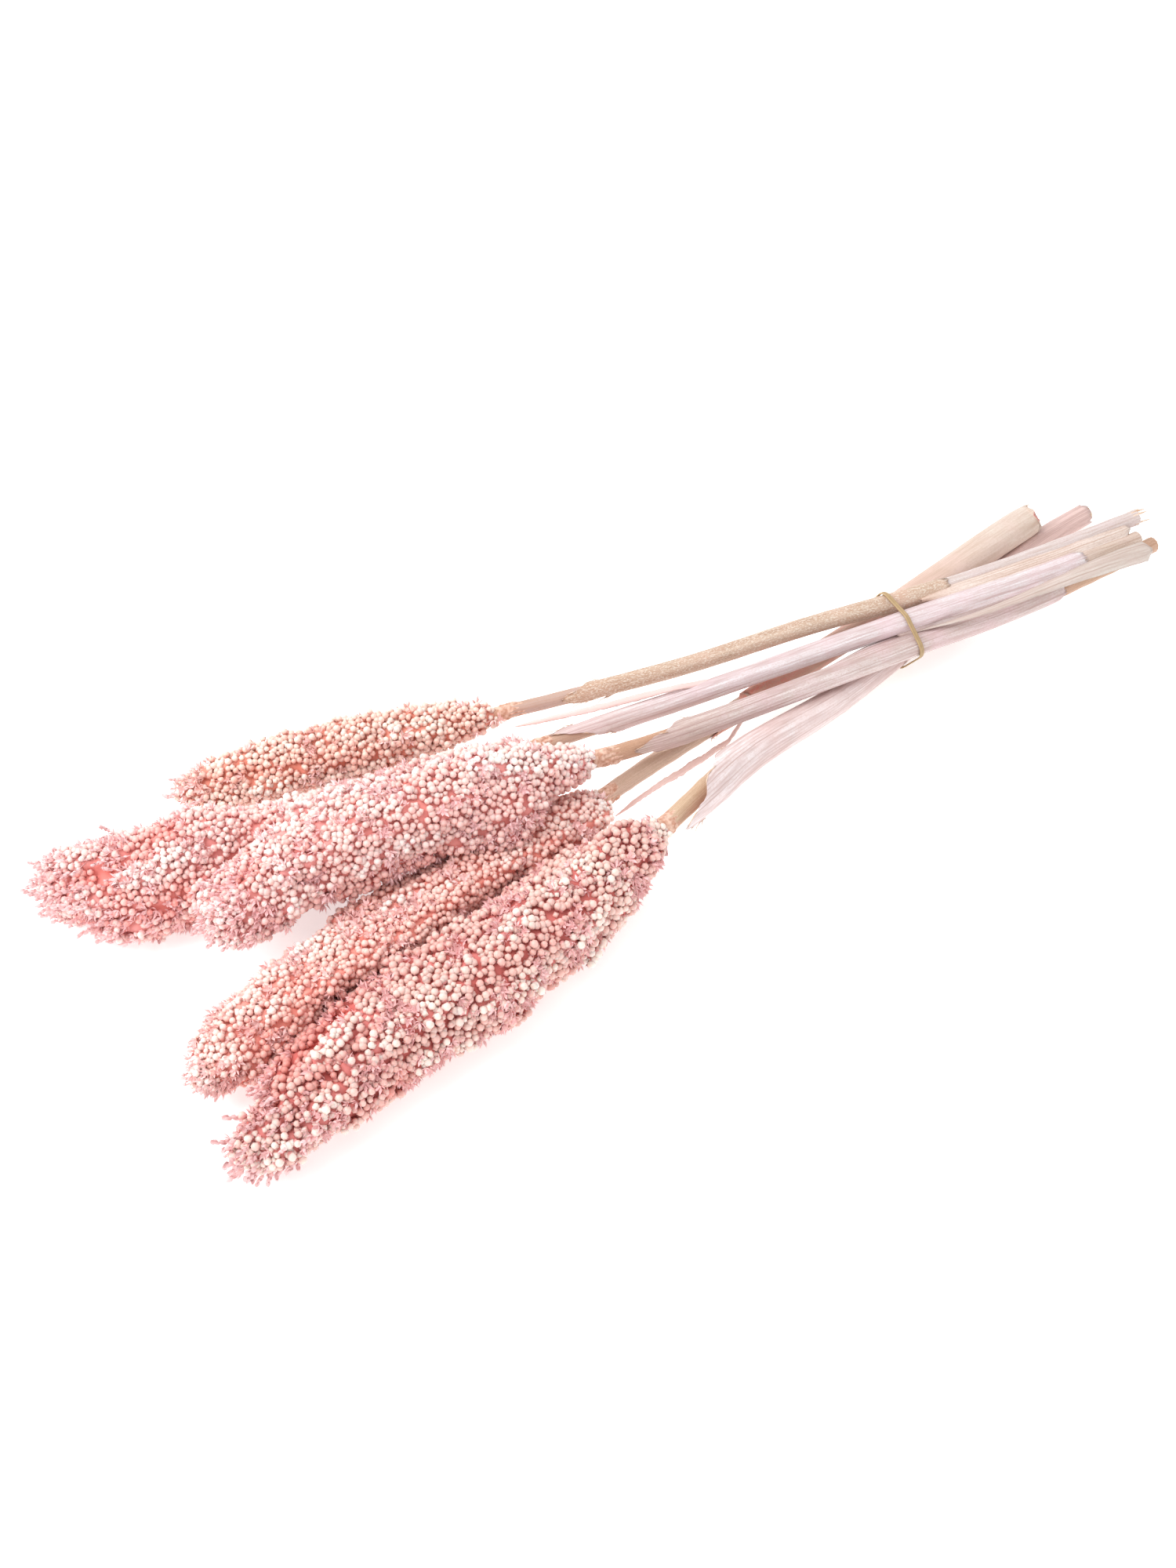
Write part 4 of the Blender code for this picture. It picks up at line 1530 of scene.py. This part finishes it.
class Roll:
    """One row of a sheath: the arc it covers and how far it stands from the stalk's middle."""

    def __init__(self, stalk, length):
        self.length = length
        self.place, self.direction, self.side, self.lift, self.radius = stalk.at(length)

    def way(self, angle):
        return way_round(self.side, self.lift, angle)

    def meets(self, tree):
        """Measures the plain wall with rays, and says whether it is there."""
        angles = [2 * math.pi * step / RAY_STEPS for step in range(RAY_STEPS)]
        far = MOST_STANDING * MM
        hits = [tree.ray_cast(self.place, self.way(angle), far)[3] for angle in angles]
        self.found = [(angle, hit) for angle, hit in zip(angles, hits) if hit]
        self.start, self.end = self.arc([hit is not None for hit in hits])
        return self.end > self.start

    def arc(self, covered):
        """The covered arc: what is left beside the widest opening."""
        if not any(covered):
            return 0.0, 0.0
        if all(covered):
            return 0.0, 2 * math.pi
        best, best_from = 0, 0
        for first in range(RAY_STEPS):
            width = 0
            while width < RAY_STEPS and not covered[(first + width) % RAY_STEPS]:
                width += 1
            if width > best:
                best, best_from = width, first
        start = 2 * math.pi * (best_from + best) / RAY_STEPS
        end = 2 * math.pi * (best_from - 1 + RAY_STEPS) / RAY_STEPS
        while end < start:
            end += 2 * math.pi
        while end - start > 2 * math.pi:
            end -= 2 * math.pi
        return start, end

    def is_wide(self):
        return self.end - self.start > WIDE_ARC

    def standing(self, lean):
        """Mean stand-off and its lean to side and lift, fitted to the rays."""
        if self.is_wide():
            table = [(1.0, math.cos(angle), math.sin(angle)) for angle, _ in self.found]
            reached = np.array([hit for _, hit in self.found])
            return np.linalg.lstsq(np.array(table), reached, rcond=None)[0]
        shape = [1.0 + lean[0] * math.cos(a) + lean[1] * math.sin(a) for a, _ in self.found]
        size = np.mean([hit / part for (_, hit), part in zip(self.found, shape)])
        return size, size * lean[0], size * lean[1]


def smoothed(rows, window):
    """Each row of numbers as the mean of the rows round it."""
    half = window // 2
    padded = np.pad(np.array(rows), ((half, half), (0, 0)), mode="edge")
    return [padded[row : row + window].mean(axis=0) for row in range(len(rows))]


def measure_sheath(number):
    """The rows of a sheath, from its torn top to its cut end, smoothed along their length."""
    mesh = merged_copy(f"sheath_{number}")
    tree = BVHTree.FromBMesh(mesh)
    stalk = stalks[number]
    xs = corner_points(mesh)[:, 0]
    mesh.free()
    first = stalk.length_at(xs.min()) + WALL_INSET * MM
    last = stalk.length_at(xs.max()) - WALL_INSET * MM
    count = int((last - first) / (ROW_STEP * MM))
    rolls = [Roll(stalk, first + (last - first) * row / count) for row in range(count + 1)]
    rolls = [roll for roll in rolls if roll.meets(tree)]
    fits = np.zeros((len(rolls), 3))
    lean = np.zeros(2)
    for row in reversed(range(len(rolls))):
        fits[row] = rolls[row].standing(lean)
        if rolls[row].is_wide():
            lean = fits[row, 1:] / fits[row, 0]
    middles = np.unwrap([(roll.start + roll.end) / 2 for roll in rolls])
    halves = [(roll.end - roll.start) / 2 for roll in rolls]
    return rolls, smoothed(np.column_stack([fits, middles, halves]), SMOOTH_ROWS)


sheaths = {number: measure_sheath(number) for number in stalks}
for number, (rolls, fits) in sheaths.items():
    widest = math.degrees(2 * max(fit[4] for fit in fits))
    print(f"sheath {number}: {len(rolls)} rows, covers up to {widest:.0f} degrees")

# %% The shape of each sheath
SHEATH_COLUMNS = 22
WALL = 0.45
INNER_GAP = 0.05
# The sheath that closes round its stalk past the tie, and over what length it does.
CLOSED_PAST_TIE = 4
CLOSING = 0.03
CLOSED_HALF = math.pi * 0.985
# The sheaths whose cut ends are torn too, and how long that stretch is.
TORN_ENDS = (1, 2, 3)
TORN_END = 12.0
# Near the tie two sheaths stand off further: how far, to which side, from where to where.
FLARES = {3: (4.5, 1.0, 0.06, 0.04), 4: (4.0, -1.0, 0.07, -0.004)}
# How closely each torn point lies on its stalk: 1 touches it.
HUGGING = {1: 1.0, 2: 0.9, 3: 0.9, 4: 0.8, 5: 0.45}
HUG_SHARE = 0.55
# How near its stalk's straw a sheath may come at a hugging point and anywhere.
HUG_GAP = 0.35
LEAST_GAP = 0.25
TEAR_WIDTH = 0.9
LEAST_HALF = 0.06
# Share of the plain wall's distance from the stalk that a tight sheath keeps, away from the tie.
SLIM = {1: 0.55}
SLIM_FROM = 8.0
SLIM_WHOLE = 30.0
# How far the edges curl off the stalk at the torn top, how long that torn stretch is, and how
# far its point is drawn out beyond the plain wall.
CURL = {1: 1.4, 2: 1.6, 3: 1.8, 4: 1.5, 5: 2.2}
TORN_LENGTH = {1: 30.0, 2: 62.0, 3: 60.0, 4: 46.0, 5: 66.0}
POINT_REACH = {1: 10.0, 2: 12.0, 3: 6.0, 4: 6.0, 5: 6.0}
# The side of the stalk on which each torn point lies.
TONGUE_WAY = {1: (0, -1, 0.2), 2: (0, 0.4, 1), 3: (0, -1, 0.3), 4: (0, -1, 0), 5: (0, -1, 0)}
FOLD_HEIGHT = 0.35
# How far the first and last row of corners are out of line.
JAG = 1.5


def tear(place, seed):
    """A jagged number from -1 to 1 that changes quickly along an edge."""
    slow = noise.noise(Vector((place * 0.11, seed * 3.7, 0.0)))
    quick = noise.noise(Vector((place * 0.55, seed * 5.1, 4.0)))
    return max(-1.0, min(1.0, slow * 0.9 + quick * 0.8))


def short_turn(angle, aim):
    """How far to turn from an angle to another, the short way round."""
    return (aim - angle + math.pi) % (2 * math.pi) - math.pi


def drawn_out(number):
    """The rows of a sheath, with more of them for its point, and what is known of each."""
    rolls, fits = sheaths[number]
    torn = TORN_LENGTH[number] * MM
    extra = int(POINT_REACH[number] / ROW_STEP)
    starts = [rolls[0].length - ROW_STEP * MM * (extra - row) for row in range(extra)]
    rolls = [Roll(stalks[number], length) for length in starts] + rolls
    for roll, fit in zip(rolls, [fits[0]] * extra + fits):
        roll.size, roll.to_side, roll.to_lift, roll.middle, roll.half = fit
        roll.passed = roll.length - rolls[0].length
        roll.left = rolls[-1].length - roll.length
        roll.loose = max(0.0, 1.0 - roll.passed / torn)
        roll.hug = 1.0 - ramp(roll.passed, 0.0, torn * HUG_SHARE)
    return rolls


def row_edges(number, roll, widest, tie):
    """The angles of both edges of a row: narrow and to its own side at the point, and torn."""
    torn = TORN_LENGTH[number] * MM
    half = min(roll.half, widest * (0.05 + 0.95 * ramp(roll.passed, 0.0, torn) ** 0.8))
    if number == CLOSED_PAST_TIE:
        half += (CLOSED_HALF - half) * ramp(roll.length, tie, tie + CLOSING)
    tongue = Vector(TONGUE_WAY[number])
    aim = math.atan2(roll.lift.dot(tongue), roll.side.dot(tongue))
    middle = roll.middle
    middle += short_turn(middle, aim) * 0.8 * (1.0 - ramp(roll.passed, torn * 0.2, torn))
    ragged = TEAR_WIDTH * MM / roll.size * (0.5 + 2.2 * roll.loose) * min(1.0, half / 0.9)
    if number in TORN_ENDS:
        end = ramp(roll.left, 0.0, TORN_END * MM)
        half *= 0.3 + 0.7 * end
        ragged *= 3.5 - 2.5 * end
    if number == CLOSED_PAST_TIE:
        up = math.atan2(roll.lift.z, roll.side.z)
        middle += short_turn(middle, up) * ramp(roll.passed, torn * 0.3, torn)
    low = middle - half + ragged * tear(roll.length / MM, number)
    high = middle + half + ragged * tear(roll.length / MM, number + 9)
    return min(low, middle - LEAST_HALF), max(high, middle + LEAST_HALF)


def stand_off(number, roll, angle, edge, tie):
    """How far from the stalk's middle a sheath runs at this angle of a row."""
    stand = roll.size + roll.to_side * math.cos(angle) + roll.to_lift * math.sin(angle)
    slim = SLIM.get(number, 1.0)
    from_tie = ramp(abs(roll.length - tie), SLIM_FROM * MM, SLIM_WHOLE * MM)
    slim += (1.0 - slim) * (1.0 - from_tie)
    stand = roll.radius + (stand - roll.radius) * slim
    stand += (WALL / 2 + INNER_GAP) * MM
    stand += (roll.radius + HUG_GAP * MM - stand) * roll.hug * HUGGING[number]
    stand += edge * CURL[number] * MM * (0.1 + roll.loose) * (1.0 - roll.hug)
    if number in FLARES:
        flare, side_way, before, after = FLARES[number]
        near = max(0.0, roll.way(angle).y * side_way)
        wide = ramp(roll.length, tie - before, tie - before / 2)
        wide *= 1.0 - ramp(roll.length, tie + after / 2, tie + after)
        stand += flare * MM * near * near * wide
    fold = noise.noise(Vector((roll.length / MM * 0.02, angle * 1.6, number * 2.0)))
    stand += FOLD_HEIGHT * MM * fold
    return max(stand, roll.radius + LEAST_GAP * MM)


def roll_sheath(number):
    """The sheet of a sheath: corners, faces, straightened positions and share of the wall."""
    rolls = drawn_out(number)
    draw = np.random.default_rng(70 + number)
    widest = max(roll.half for roll in rolls)
    tie = stalks[number].length_at(float(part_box("rubber_band")[1][0]))
    corners = []
    straight = []
    walls = []
    for roll in rolls:
        low, high = row_edges(number, roll, widest, tie)
        is_end = min(roll.left, roll.passed) < 0.5 * MM
        for column in range(SHEATH_COLUMNS):
            across = column / (SHEATH_COLUMNS - 1)
            angle = low + (high - low) * across
            edge = abs(2 * across - 1) ** 4
            out = roll.way(angle) * stand_off(number, roll, angle, edge, tie)
            jag = draw.uniform(-JAG, JAG) * MM if is_end else 0.0
            corners.append(roll.place + out + roll.direction * jag)
            straight.append(straight_place(angle, roll.passed + jag))
            walls.append(max(0.1, min(1.0 - roll.hug, 1.0) * (1.0 - 0.75 * edge)))
    return corners, grid_faces(len(rolls), SHEATH_COLUMNS), straight, walls


print("sheaths are", WALL, "mm thick, with torn points of up to", max(TORN_LENGTH.values()), "mm")

# %% Roll the sheaths
# Outer straw, streak, speck, dye and start shades, then the same for the inner face.
LEAF = {
    1: (
        ((207, 183, 162), (170, 130, 106), (234, 225, 212), (216, 177, 158), (199, 160, 134)),
        ((226, 177, 164), (199, 140, 126), (208, 160, 144), (232, 177, 170), (218, 167, 154)),
    ),
    2: (
        ((235, 230, 232), (183, 146, 144), (207, 183, 178), (230, 201, 208), (217, 197, 190)),
        ((224, 187, 182), (193, 148, 142), (207, 169, 156), (230, 183, 186), (220, 183, 178)),
    ),
    3: (
        ((224, 213, 210), (170, 134, 128), (193, 165, 154), (222, 187, 194), (205, 181, 168)),
        ((222, 173, 168), (189, 132, 126), (205, 156, 144), (228, 173, 174), (220, 173, 168)),
    ),
    4: (
        ((226, 213, 202), (193, 164, 144), (205, 181, 164), (224, 197, 188), (216, 108, 94)),
        ((214, 144, 134), (179, 106, 98), (193, 128, 116), (218, 142, 136), (210, 142, 132)),
    ),
    5: (
        ((224, 196, 190), (186, 152, 146), (206, 178, 168), (228, 194, 190), (243, 236, 238)),
        ((230, 207, 204), (199, 160, 154), (210, 179, 168), (232, 199, 202), (230, 205, 200)),
    ),
}
# Strength and number of the parallel veins in each sheath, and how speckled it is.
LINES = {1: 0.35, 2: 0.7, 3: 0.85, 4: 0.5, 5: 0.75}
LINE_COUNT = {1: 26.0, 2: 26.0, 3: 26.0, 4: 30.0, 5: 44.0}
SPECKS = {1: 0.62, 2: 0.45, 3: 0.5, 4: 0.45, 5: 0.3}
# How far down the sheath the start shade reaches, in metres, and how strong it is there.
START = {1: (0.07, 0.8), 2: (0.07, 0.8), 3: (0.07, 0.8), 4: (0.24, 1.0), 5: (0.32, 1.0)}


def sheet_piece(name, corners, faces, straight, finishes, thickness, walls):
    """A thin sheet with its thickness, its inner face and its straightened positions."""
    shapes = Gather()
    shapes.add(corners, faces)
    data = shapes.mesh("sheet")
    write_fibre(data, straight)
    sheet = add_piece("sheet", data)
    for finish in finishes:
        data.materials.append(finish)
    thinner = sheet.vertex_groups.new(name="wall")
    for index, share in enumerate(walls):
        thinner.add([index], share, "REPLACE")
    wall = sheet.modifiers.new("wall", "SOLIDIFY")
    wall.vertex_group = thinner.name
    wall.thickness = thickness * MM
    wall.offset = 0.0
    wall.material_offset = 1
    result = baked(sheet, name)
    result.shade_smooth()
    return result


def nearest(places, point):
    """The place of a centre line that lies nearest to a point."""
    return min(places, key=lambda place: (place - point).length)


def points_out(corners, faces, places):
    """Whether the sheet's faces look away from the stalk's centre line."""
    away = 0
    for face in faces[::7]:
        a, b, c = (Vector(corners[index]) for index in face[:3])
        away += 1 if (b - a).cross(c - a).dot(a - nearest(places, a)) > 0 else -1
    return away > 0


def sheath_finishes(number):
    """The finishes of a sheath's outer and inner face."""
    outer, inner = LEAF[number]
    start_length, start_strength = START[number]
    return (
        straw_finish(
            f"leaf_{number}", outer, 0.62, 0.45, fineness=1300.0, veins=0.75,
            specks=SPECKS[number], lines=LINES[number], line_count=LINE_COUNT[number],
            dye_strength=0.45, start_length=start_length, start_strength=start_strength,
        ),
        straw_finish(
            f"leaf_inside_{number}", inner, 0.5, 0.3, fineness=1150.0, veins=0.6,
            specks=0.2, lines=0.6, line_count=LINE_COUNT[number],
            dye_strength=0.4, start_length=0.05, start_strength=0.3,
        ),
    )


sheath_corners = {}
for number in sheaths:
    corners, faces, straight, walls = roll_sheath(number)
    sheath_corners[number] = corners
    if not points_out(corners, faces, stalks[number].places):
        faces = [tuple(reversed(face)) for face in faces]
    finishes = sheath_finishes(number)
    data = sheet_piece(f"sheath_{number}_leaf", corners, faces, straight, finishes, WALL, walls)
    keep(data.name, data, "leaf", f"sheath_{number}")
    print(data.name, len(data.polygons), "faces")

# %% [markdown]
# Torn fibres
#
# Straw doesn't break clean. Single fibres stick out from the torn tops of the sheaths, a fringe
# of short ones stands round the cut end of the thickest stalk, and the thinnest stalk ends in a
# dry split tip. Each is a tube of a few rings that gets thinner to its end, and all of them make
# one mesh. Hair would look alike, but it would be lost in the export.
# %% Torn fibres
SPLINTERS = 9
SPLINTER_LENGTH = (3.0, 11.0)
SPLINTER_RISE = (0.1, 0.5)
SPLINTER_STEPS = (-0.3, 0.1, 0.55, 1.0)
SPLINTER_RADII = (0.34, 0.32, 0.22, 0.05)
RIM_FIBRES = 60
RIM_RADII = (0.2, 0.16, 0.04)
FRAYED_STALK = 4
DRY_TIP = 8.0
DRY_FIBRES = 5
DRY_RADII = (0.5, 0.6, 0.5, 0.1)
DRY_STALK = 1


def add_fibre(shapes, path, radii, around):
    """One torn fibre, from the radii of its rings."""
    shapes.add(*tube(path, [radius * MM for radius in radii], around))


def add_splinters(shapes, corners, rows, draw, places):
    """Fibres that stick out from the edges of a sheath's torn top."""
    for _ in range(SPLINTERS):
        row = draw.integers(1, rows)
        column = draw.choice((0, SHEATH_COLUMNS - 1))
        seat = corners[row * SHEATH_COLUMNS + column]
        back = (corners[(row - 1) * SHEATH_COLUMNS + column] - seat).normalized()
        out = (seat - nearest(places, seat)).normalized()
        length = draw.uniform(*SPLINTER_LENGTH) * MM
        rise = draw.uniform(*SPLINTER_RISE)
        path = [seat + (back + out * rise * max(step, 0.0)) * length * step for step in SPLINTER_STEPS]
        add_fibre(shapes, path, SPLINTER_RADII, 4)


def add_rim_fibres(shapes, stalk, draw):
    """A fringe of short fibres round the cut end of a stalk."""
    place, direction, side, lift, radius = stalk.at(stalk.lengths[-1])
    for _ in range(RIM_FIBRES):
        way = way_round(side, lift, draw.uniform(0, 2 * math.pi))
        seat = place + way * (radius + draw.uniform(-0.2, 0.5) * MM)
        seat -= direction * draw.uniform(0.2, 1.5) * MM
        lean = direction * draw.uniform(0.2, 0.9) + way * draw.uniform(0.3, 1.0)
        tip = seat + lean * draw.uniform(0.8, 2.0) * MM
        path = [seat, (seat + tip) / 2 + direction * 0.2 * MM, tip]
        add_fibre(shapes, path, RIM_RADII, 3)


def add_dry_tip(shapes, stalk, draw):
    """The split tip of a stalk that dried out."""
    place, direction, side, lift, radius = stalk.at(stalk.lengths[-1])
    for _ in range(DRY_FIBRES):
        seat = place + way_round(side, lift, draw.uniform(0, 2 * math.pi)) * radius * 0.9
        steps = (-4.0, 0.0, DRY_TIP * 0.5, DRY_TIP * draw.uniform(0.8, 1.1))
        bend = -lift * draw.uniform(0.0, 0.3)
        path = [seat + (direction + bend * max(0.0, step / DRY_TIP)) * step * MM for step in steps]
        add_fibre(shapes, path, DRY_RADII, 5)


splinters = Gather()
for number, corners in sheath_corners.items():
    torn_rows = int((TORN_LENGTH[number] + POINT_REACH[number]) / ROW_STEP)
    draw = np.random.default_rng(90 + number)
    add_splinters(splinters, corners, torn_rows, draw, stalks[number].places)
draw = np.random.default_rng(7)
add_rim_fibres(splinters, stalks[FRAYED_STALK], draw)
add_dry_tip(splinters, stalks[DRY_STALK], draw)
splinter_data = splinters.mesh("torn_fibres")
splinter_data.materials.append(mottled_finish(
    "torn_fibre", 0.6, "ShaderNodeTexNoise", ((208, 168, 136), 0.35), ((244, 222, 206), 0.65),
    Scale=240.0,
)[0])
splinter_data.shade_smooth()
keep("torn_fibres", splinter_data, "leaf")
print("torn fibres:", len(splinter_data.polygons), "faces")

# %% [markdown]
# Torn strips of leaf
#
# Two narrow wisps of leaf and a longer offcut lie among the stems, and what is left of two torn
# sheaths fills the space between the stalks past the tie. Each is a ribbon. For the first three,
# every slice of the plain strip is measured for its middle, for the way it is widest and for its
# width, and the other two are laid between the centre lines of their stalks. The ribbon made
# along those slices has torn edges, a shallow fold and a pointed end.
# %% Measure the strips
STRIP_ROWS = 60
STRIP_SMOOTH = 9
STRIP_INSET = 0.6
ROOT_ROWS = 12


def strip_slices(node):
    """Middle, way across and half width of slices along a strip, and the way it runs."""
    mesh = merged_copy(node)
    points = corner_points(mesh)
    ends = edge_ends(mesh)
    mesh.free()
    first = points[points[:, 0].argmin()]
    last = points[points[:, 0].argmax()]
    along = (last - first) / np.linalg.norm(last - first)
    level = (ends - first) @ along
    lowest, highest = level.min() + STRIP_INSET * MM, level.max() - STRIP_INSET * MM
    found = []
    for row in range(STRIP_ROWS):
        at = lowest + (highest - lowest) * row / (STRIP_ROWS - 1)
        crossing = crossings(ends, level - at)
        middle = crossing.mean(axis=0)
        across = np.linalg.svd(crossing - middle)[2][0]
        if found and across @ np.array(found[-1][3:6]) < 0:
            across = -across
        half = abs((crossing - middle) @ across).max()
        found.append((*middle, *across, half))
    calm = smoothed(found, STRIP_SMOOTH)
    slices = [(Vector(row[:3]), Vector(row[3:6]).normalized(), row[6]) for row in calm]
    return slices, Vector(along)


def rooted(found, number, x):
    """The slices, and more of them that lead on to where the strip grew from."""
    middle, across, half = found[-1]
    root = stalks[number].at(stalks[number].length_at(x))[0]
    steps = [step / ROOT_ROWS for step in range(1, ROOT_ROWS + 1)]
    return found + [(middle.lerp(root, step), across, half) for step in steps]


def between(first, second, low, high, share):
    """Slices of a strip that lies between two stalks, from one x to another."""
    found = []
    for row in range(STRIP_ROWS):
        x = low + (high - low) * row / (STRIP_ROWS - 1)
        a, b = (stalks[number].at(stalks[number].length_at(x)) for number in (first, second))
        top = a[0] + Vector((0.0, 0.0, a[4] * share))
        foot = b[0] + Vector((0.0, 0.0, b[4] * share))
        found.append(((top + foot) / 2, (foot - top).normalized(), (foot - top).length / 2))
    return found, (found[-1][0] - found[0][0]).normalized()


measured = {node: strip_slices(node) for node in ("leaf_offcut", "leaf_wisp_2", "leaf_wisp_4")}
for node, (found, _) in measured.items():
    print(f"{node}: {(found[-1][0] - found[0][0]).length / MM:.0f} mm from end to end")

# %% Make the strips
STRIP_COLUMNS = 7
STRIP_WALL = 0.4
STRIP_FOLD = 0.25
STRIP_JAG = 1.6
# Over how many rows a strip narrows to each of its ends.
POINT_ROWS = (9, 3)
# Straw, streak, speck, dye and start shades of each strip. Then come the share of the measured
# width that it keeps, how raggedly its edges tear, and its number of veins.
STRIPS = {
    "leaf_offcut": (
        ((216, 206, 198), (176, 146, 134), (192, 166, 150), (220, 196, 192), (146, 114, 96)),
        1.0, 0.05, 18.0,
    ),
    "leaf_wisp_2": (
        ((244, 214, 211), (228, 192, 184), (230, 200, 190), (248, 216, 214), (236, 202, 194)),
        0.9, 0.3, 60.0,
    ),
    "leaf_wisp_4": (
        ((246, 222, 218), (228, 186, 178), (230, 196, 184), (248, 212, 210), (234, 196, 188)),
        0.85, 0.5, 60.0,
    ),
    "torn_strip_1": (
        ((238, 226, 218), (186, 148, 126), (170, 134, 112), (228, 204, 198), (214, 178, 154)),
        1.0, 0.12, 24.0,
    ),
    "torn_strip_2": (
        ((236, 224, 222), (190, 156, 148), (196, 164, 150), (230, 200, 204), (214, 184, 172)),
        1.0, 0.1, 24.0,
    ),
}
# The stalk, and its x, from which each wisp was torn.
ROOTS = {"leaf_wisp_2": (2, 0.055), "leaf_wisp_4": (4, 0.055)}
# Which stalks the rest of a sheath lies between, from x to x, and how high up on them.
BETWEEN = {"torn_strip_1": (1, 2, 0.165, 0.311, 0.75), "torn_strip_2": (2, 3, 0.140, 0.300, 0.35)}


def strip_sheet(found, along, seed, share, torn):
    """The corners of a strip along its slices, and their straightened positions."""
    rows = len(found)
    corners = []
    straight = []
    for row, (middle, across, half) in enumerate(found):
        passed = (middle - found[0][0]).length
        face = across.cross(along).normalized()
        if face.z < 0:
            face = -face
        point = min(1.0, (row + 1) / POINT_ROWS[0], (rows - row) / POINT_ROWS[1])
        for column in range(STRIP_COLUMNS):
            at = 2 * column / (STRIP_COLUMNS - 1) - 1
            width = half * share * point * (1 + torn * tear(passed / MM, seed + at * 5))
            wave = STRIP_FOLD * MM * noise.noise(Vector((passed * 40, at, seed)))
            lift = STRIP_FOLD * half * (0.5 - at * at) + wave
            is_end = row in (0, rows - 1)
            jag = (STRIP_JAG * MM * tear(at * 9, seed + row)) if is_end else 0.0
            corners.append(middle + across * at * width + face * lift + along * jag)
            straight.append(straight_place(at * half / (STRAIGHT_RADIUS * MM), passed))
    return corners, straight


def make_strip(name, slices, seed, *nodes):
    """A torn strip of leaf along its slices."""
    strip = nodes[0] if nodes else name
    shades, share, torn, veins = STRIPS[strip]
    finishes = [
        straw_finish(
            f"{strip}_{side}", shades, 0.6, 0.4, fineness=1200.0, veins=0.6, specks=0.25, lines=0.7,
            line_count=veins, dye_strength=0.4, start_length=0.03, start_strength=0.6,
        )
        for side in ("face", "back")
    ]
    corners, straight = strip_sheet(*slices, seed, share, torn)
    faces = grid_faces(len(slices[0]), STRIP_COLUMNS)
    walls = [1.0] * len(corners)
    data = sheet_piece(name, corners, faces, straight, finishes, STRIP_WALL, walls)
    return keep(data.name, data, "leaf", *nodes)


for seed, strip in enumerate(STRIPS, 20):
    if strip in BETWEEN:
        made = make_strip(strip, between(*BETWEEN[strip]), seed)
    else:
        found, along = measured[strip]
        if strip in ROOTS:
            found = rooted(found, *ROOTS[strip])
        made = make_strip(f"{strip}_torn", (found, along), seed, strip)
    print(made.name, len(made.data.polygons), "faces")

# %% [markdown]
# The rubber band
#
# One flat rubber band, doubled, holds the bunch. Its loop is measured with rays from the middle
# of the bunch to the plain band. A section with rounded edges and a groove between the two turns
# is then swept round the loop, a little wavy, because a stretched band never lies quite straight.
# %% The band
BAND_AROUND = 160
BAND_GROOVE = 0.28
# How far the band sways along the stems, and where it starts to.
BAND_WAVE = 0.35
BAND_WAVE_START = 0.8
# Rays from outside start this far from the middle of the band, in metres.
BAND_OUTSIDE = 0.2
BAND_SHADES = (
    (176, 148, 108), (150, 122, 84), (196, 170, 130), (184, 152, 116), (176, 148, 108),
)


def band_section(width, thickness):
    """Points of the section: along the stems, then outwards."""
    half = width / 2
    outer = thickness / 2
    return (
        (-half, -outer * 0.5), (-half, outer * 0.5), (-half * 0.75, outer), (-half * 0.25, outer),
        (0.0, outer - BAND_GROOVE * MM), (half * 0.25, outer * 0.9), (half * 0.75, outer * 0.9),
        (half, outer * 0.45), (half, -outer * 0.5), (half * 0.7, -outer), (-half * 0.7, -outer),
    )


def measure_band():
    """The band's middle and width, and for each way round it the distance and the thickness."""
    mesh = merged_copy("rubber_band")
    tree = BVHTree.FromBMesh(mesh)
    points = corner_points(mesh)
    mesh.free()
    middle = Vector((points.max(axis=0) + points.min(axis=0)) / 2)
    width = float(np.ptp(points[:, 0]))
    loop = []
    for step in range(BAND_AROUND):
        angle = 2 * math.pi * step / BAND_AROUND
        way = Vector((0, math.cos(angle), math.sin(angle)))
        inner = tree.ray_cast(middle, way)[3]
        outer = BAND_OUTSIDE - tree.ray_cast(middle + way * BAND_OUTSIDE, -way)[3]
        loop.append((way, (inner + outer) / 2, outer - inner))
    return middle, width, loop


def make_band():
    """The band, swept round its loop."""
    middle, width, loop = measure_band()
    section = band_section(width, float(np.mean([item[2] for item in loop])))
    corners = []
    straight = []
    passed = 0.0
    for step, (way, distance, _) in enumerate(loop):
        angle = 2 * math.pi * step / BAND_AROUND
        wave = BAND_WAVE * MM * math.sin(2 * angle + BAND_WAVE_START)
        passed += distance * 2 * math.pi / BAND_AROUND
        for at, out in section:
            corners.append(middle + way * (distance + out) + Vector((at + wave, 0, 0)))
            straight.append((at, out, passed))
    around = len(section)
    faces = []
    for step in range(BAND_AROUND):
        low = step * around
        high = (step + 1) % BAND_AROUND * around
        for corner in range(around):
            after = (corner + 1) % around
            faces.append((low + corner, low + after, high + after, high + corner))
    shapes = Gather()
    shapes.add(corners, faces)
    data = shapes.mesh("rubber_band_turns")
    write_fibre(data, straight)
    check = bmesh.new()
    check.from_mesh(data)
    bmesh.ops.recalc_face_normals(check, faces=check.faces)
    check.to_mesh(data)
    check.free()
    data.shade_smooth()
    data.materials.append(straw_finish(
        "rubber", BAND_SHADES, 0.48, 0.15, fineness=900.0, veins=0.5, specks=0.4, dye_strength=0.3,
    ))
    return keep(data.name, data, "rubber", "rubber_band")


made = make_band()
print(made.name, len(made.data.polygons), "faces")
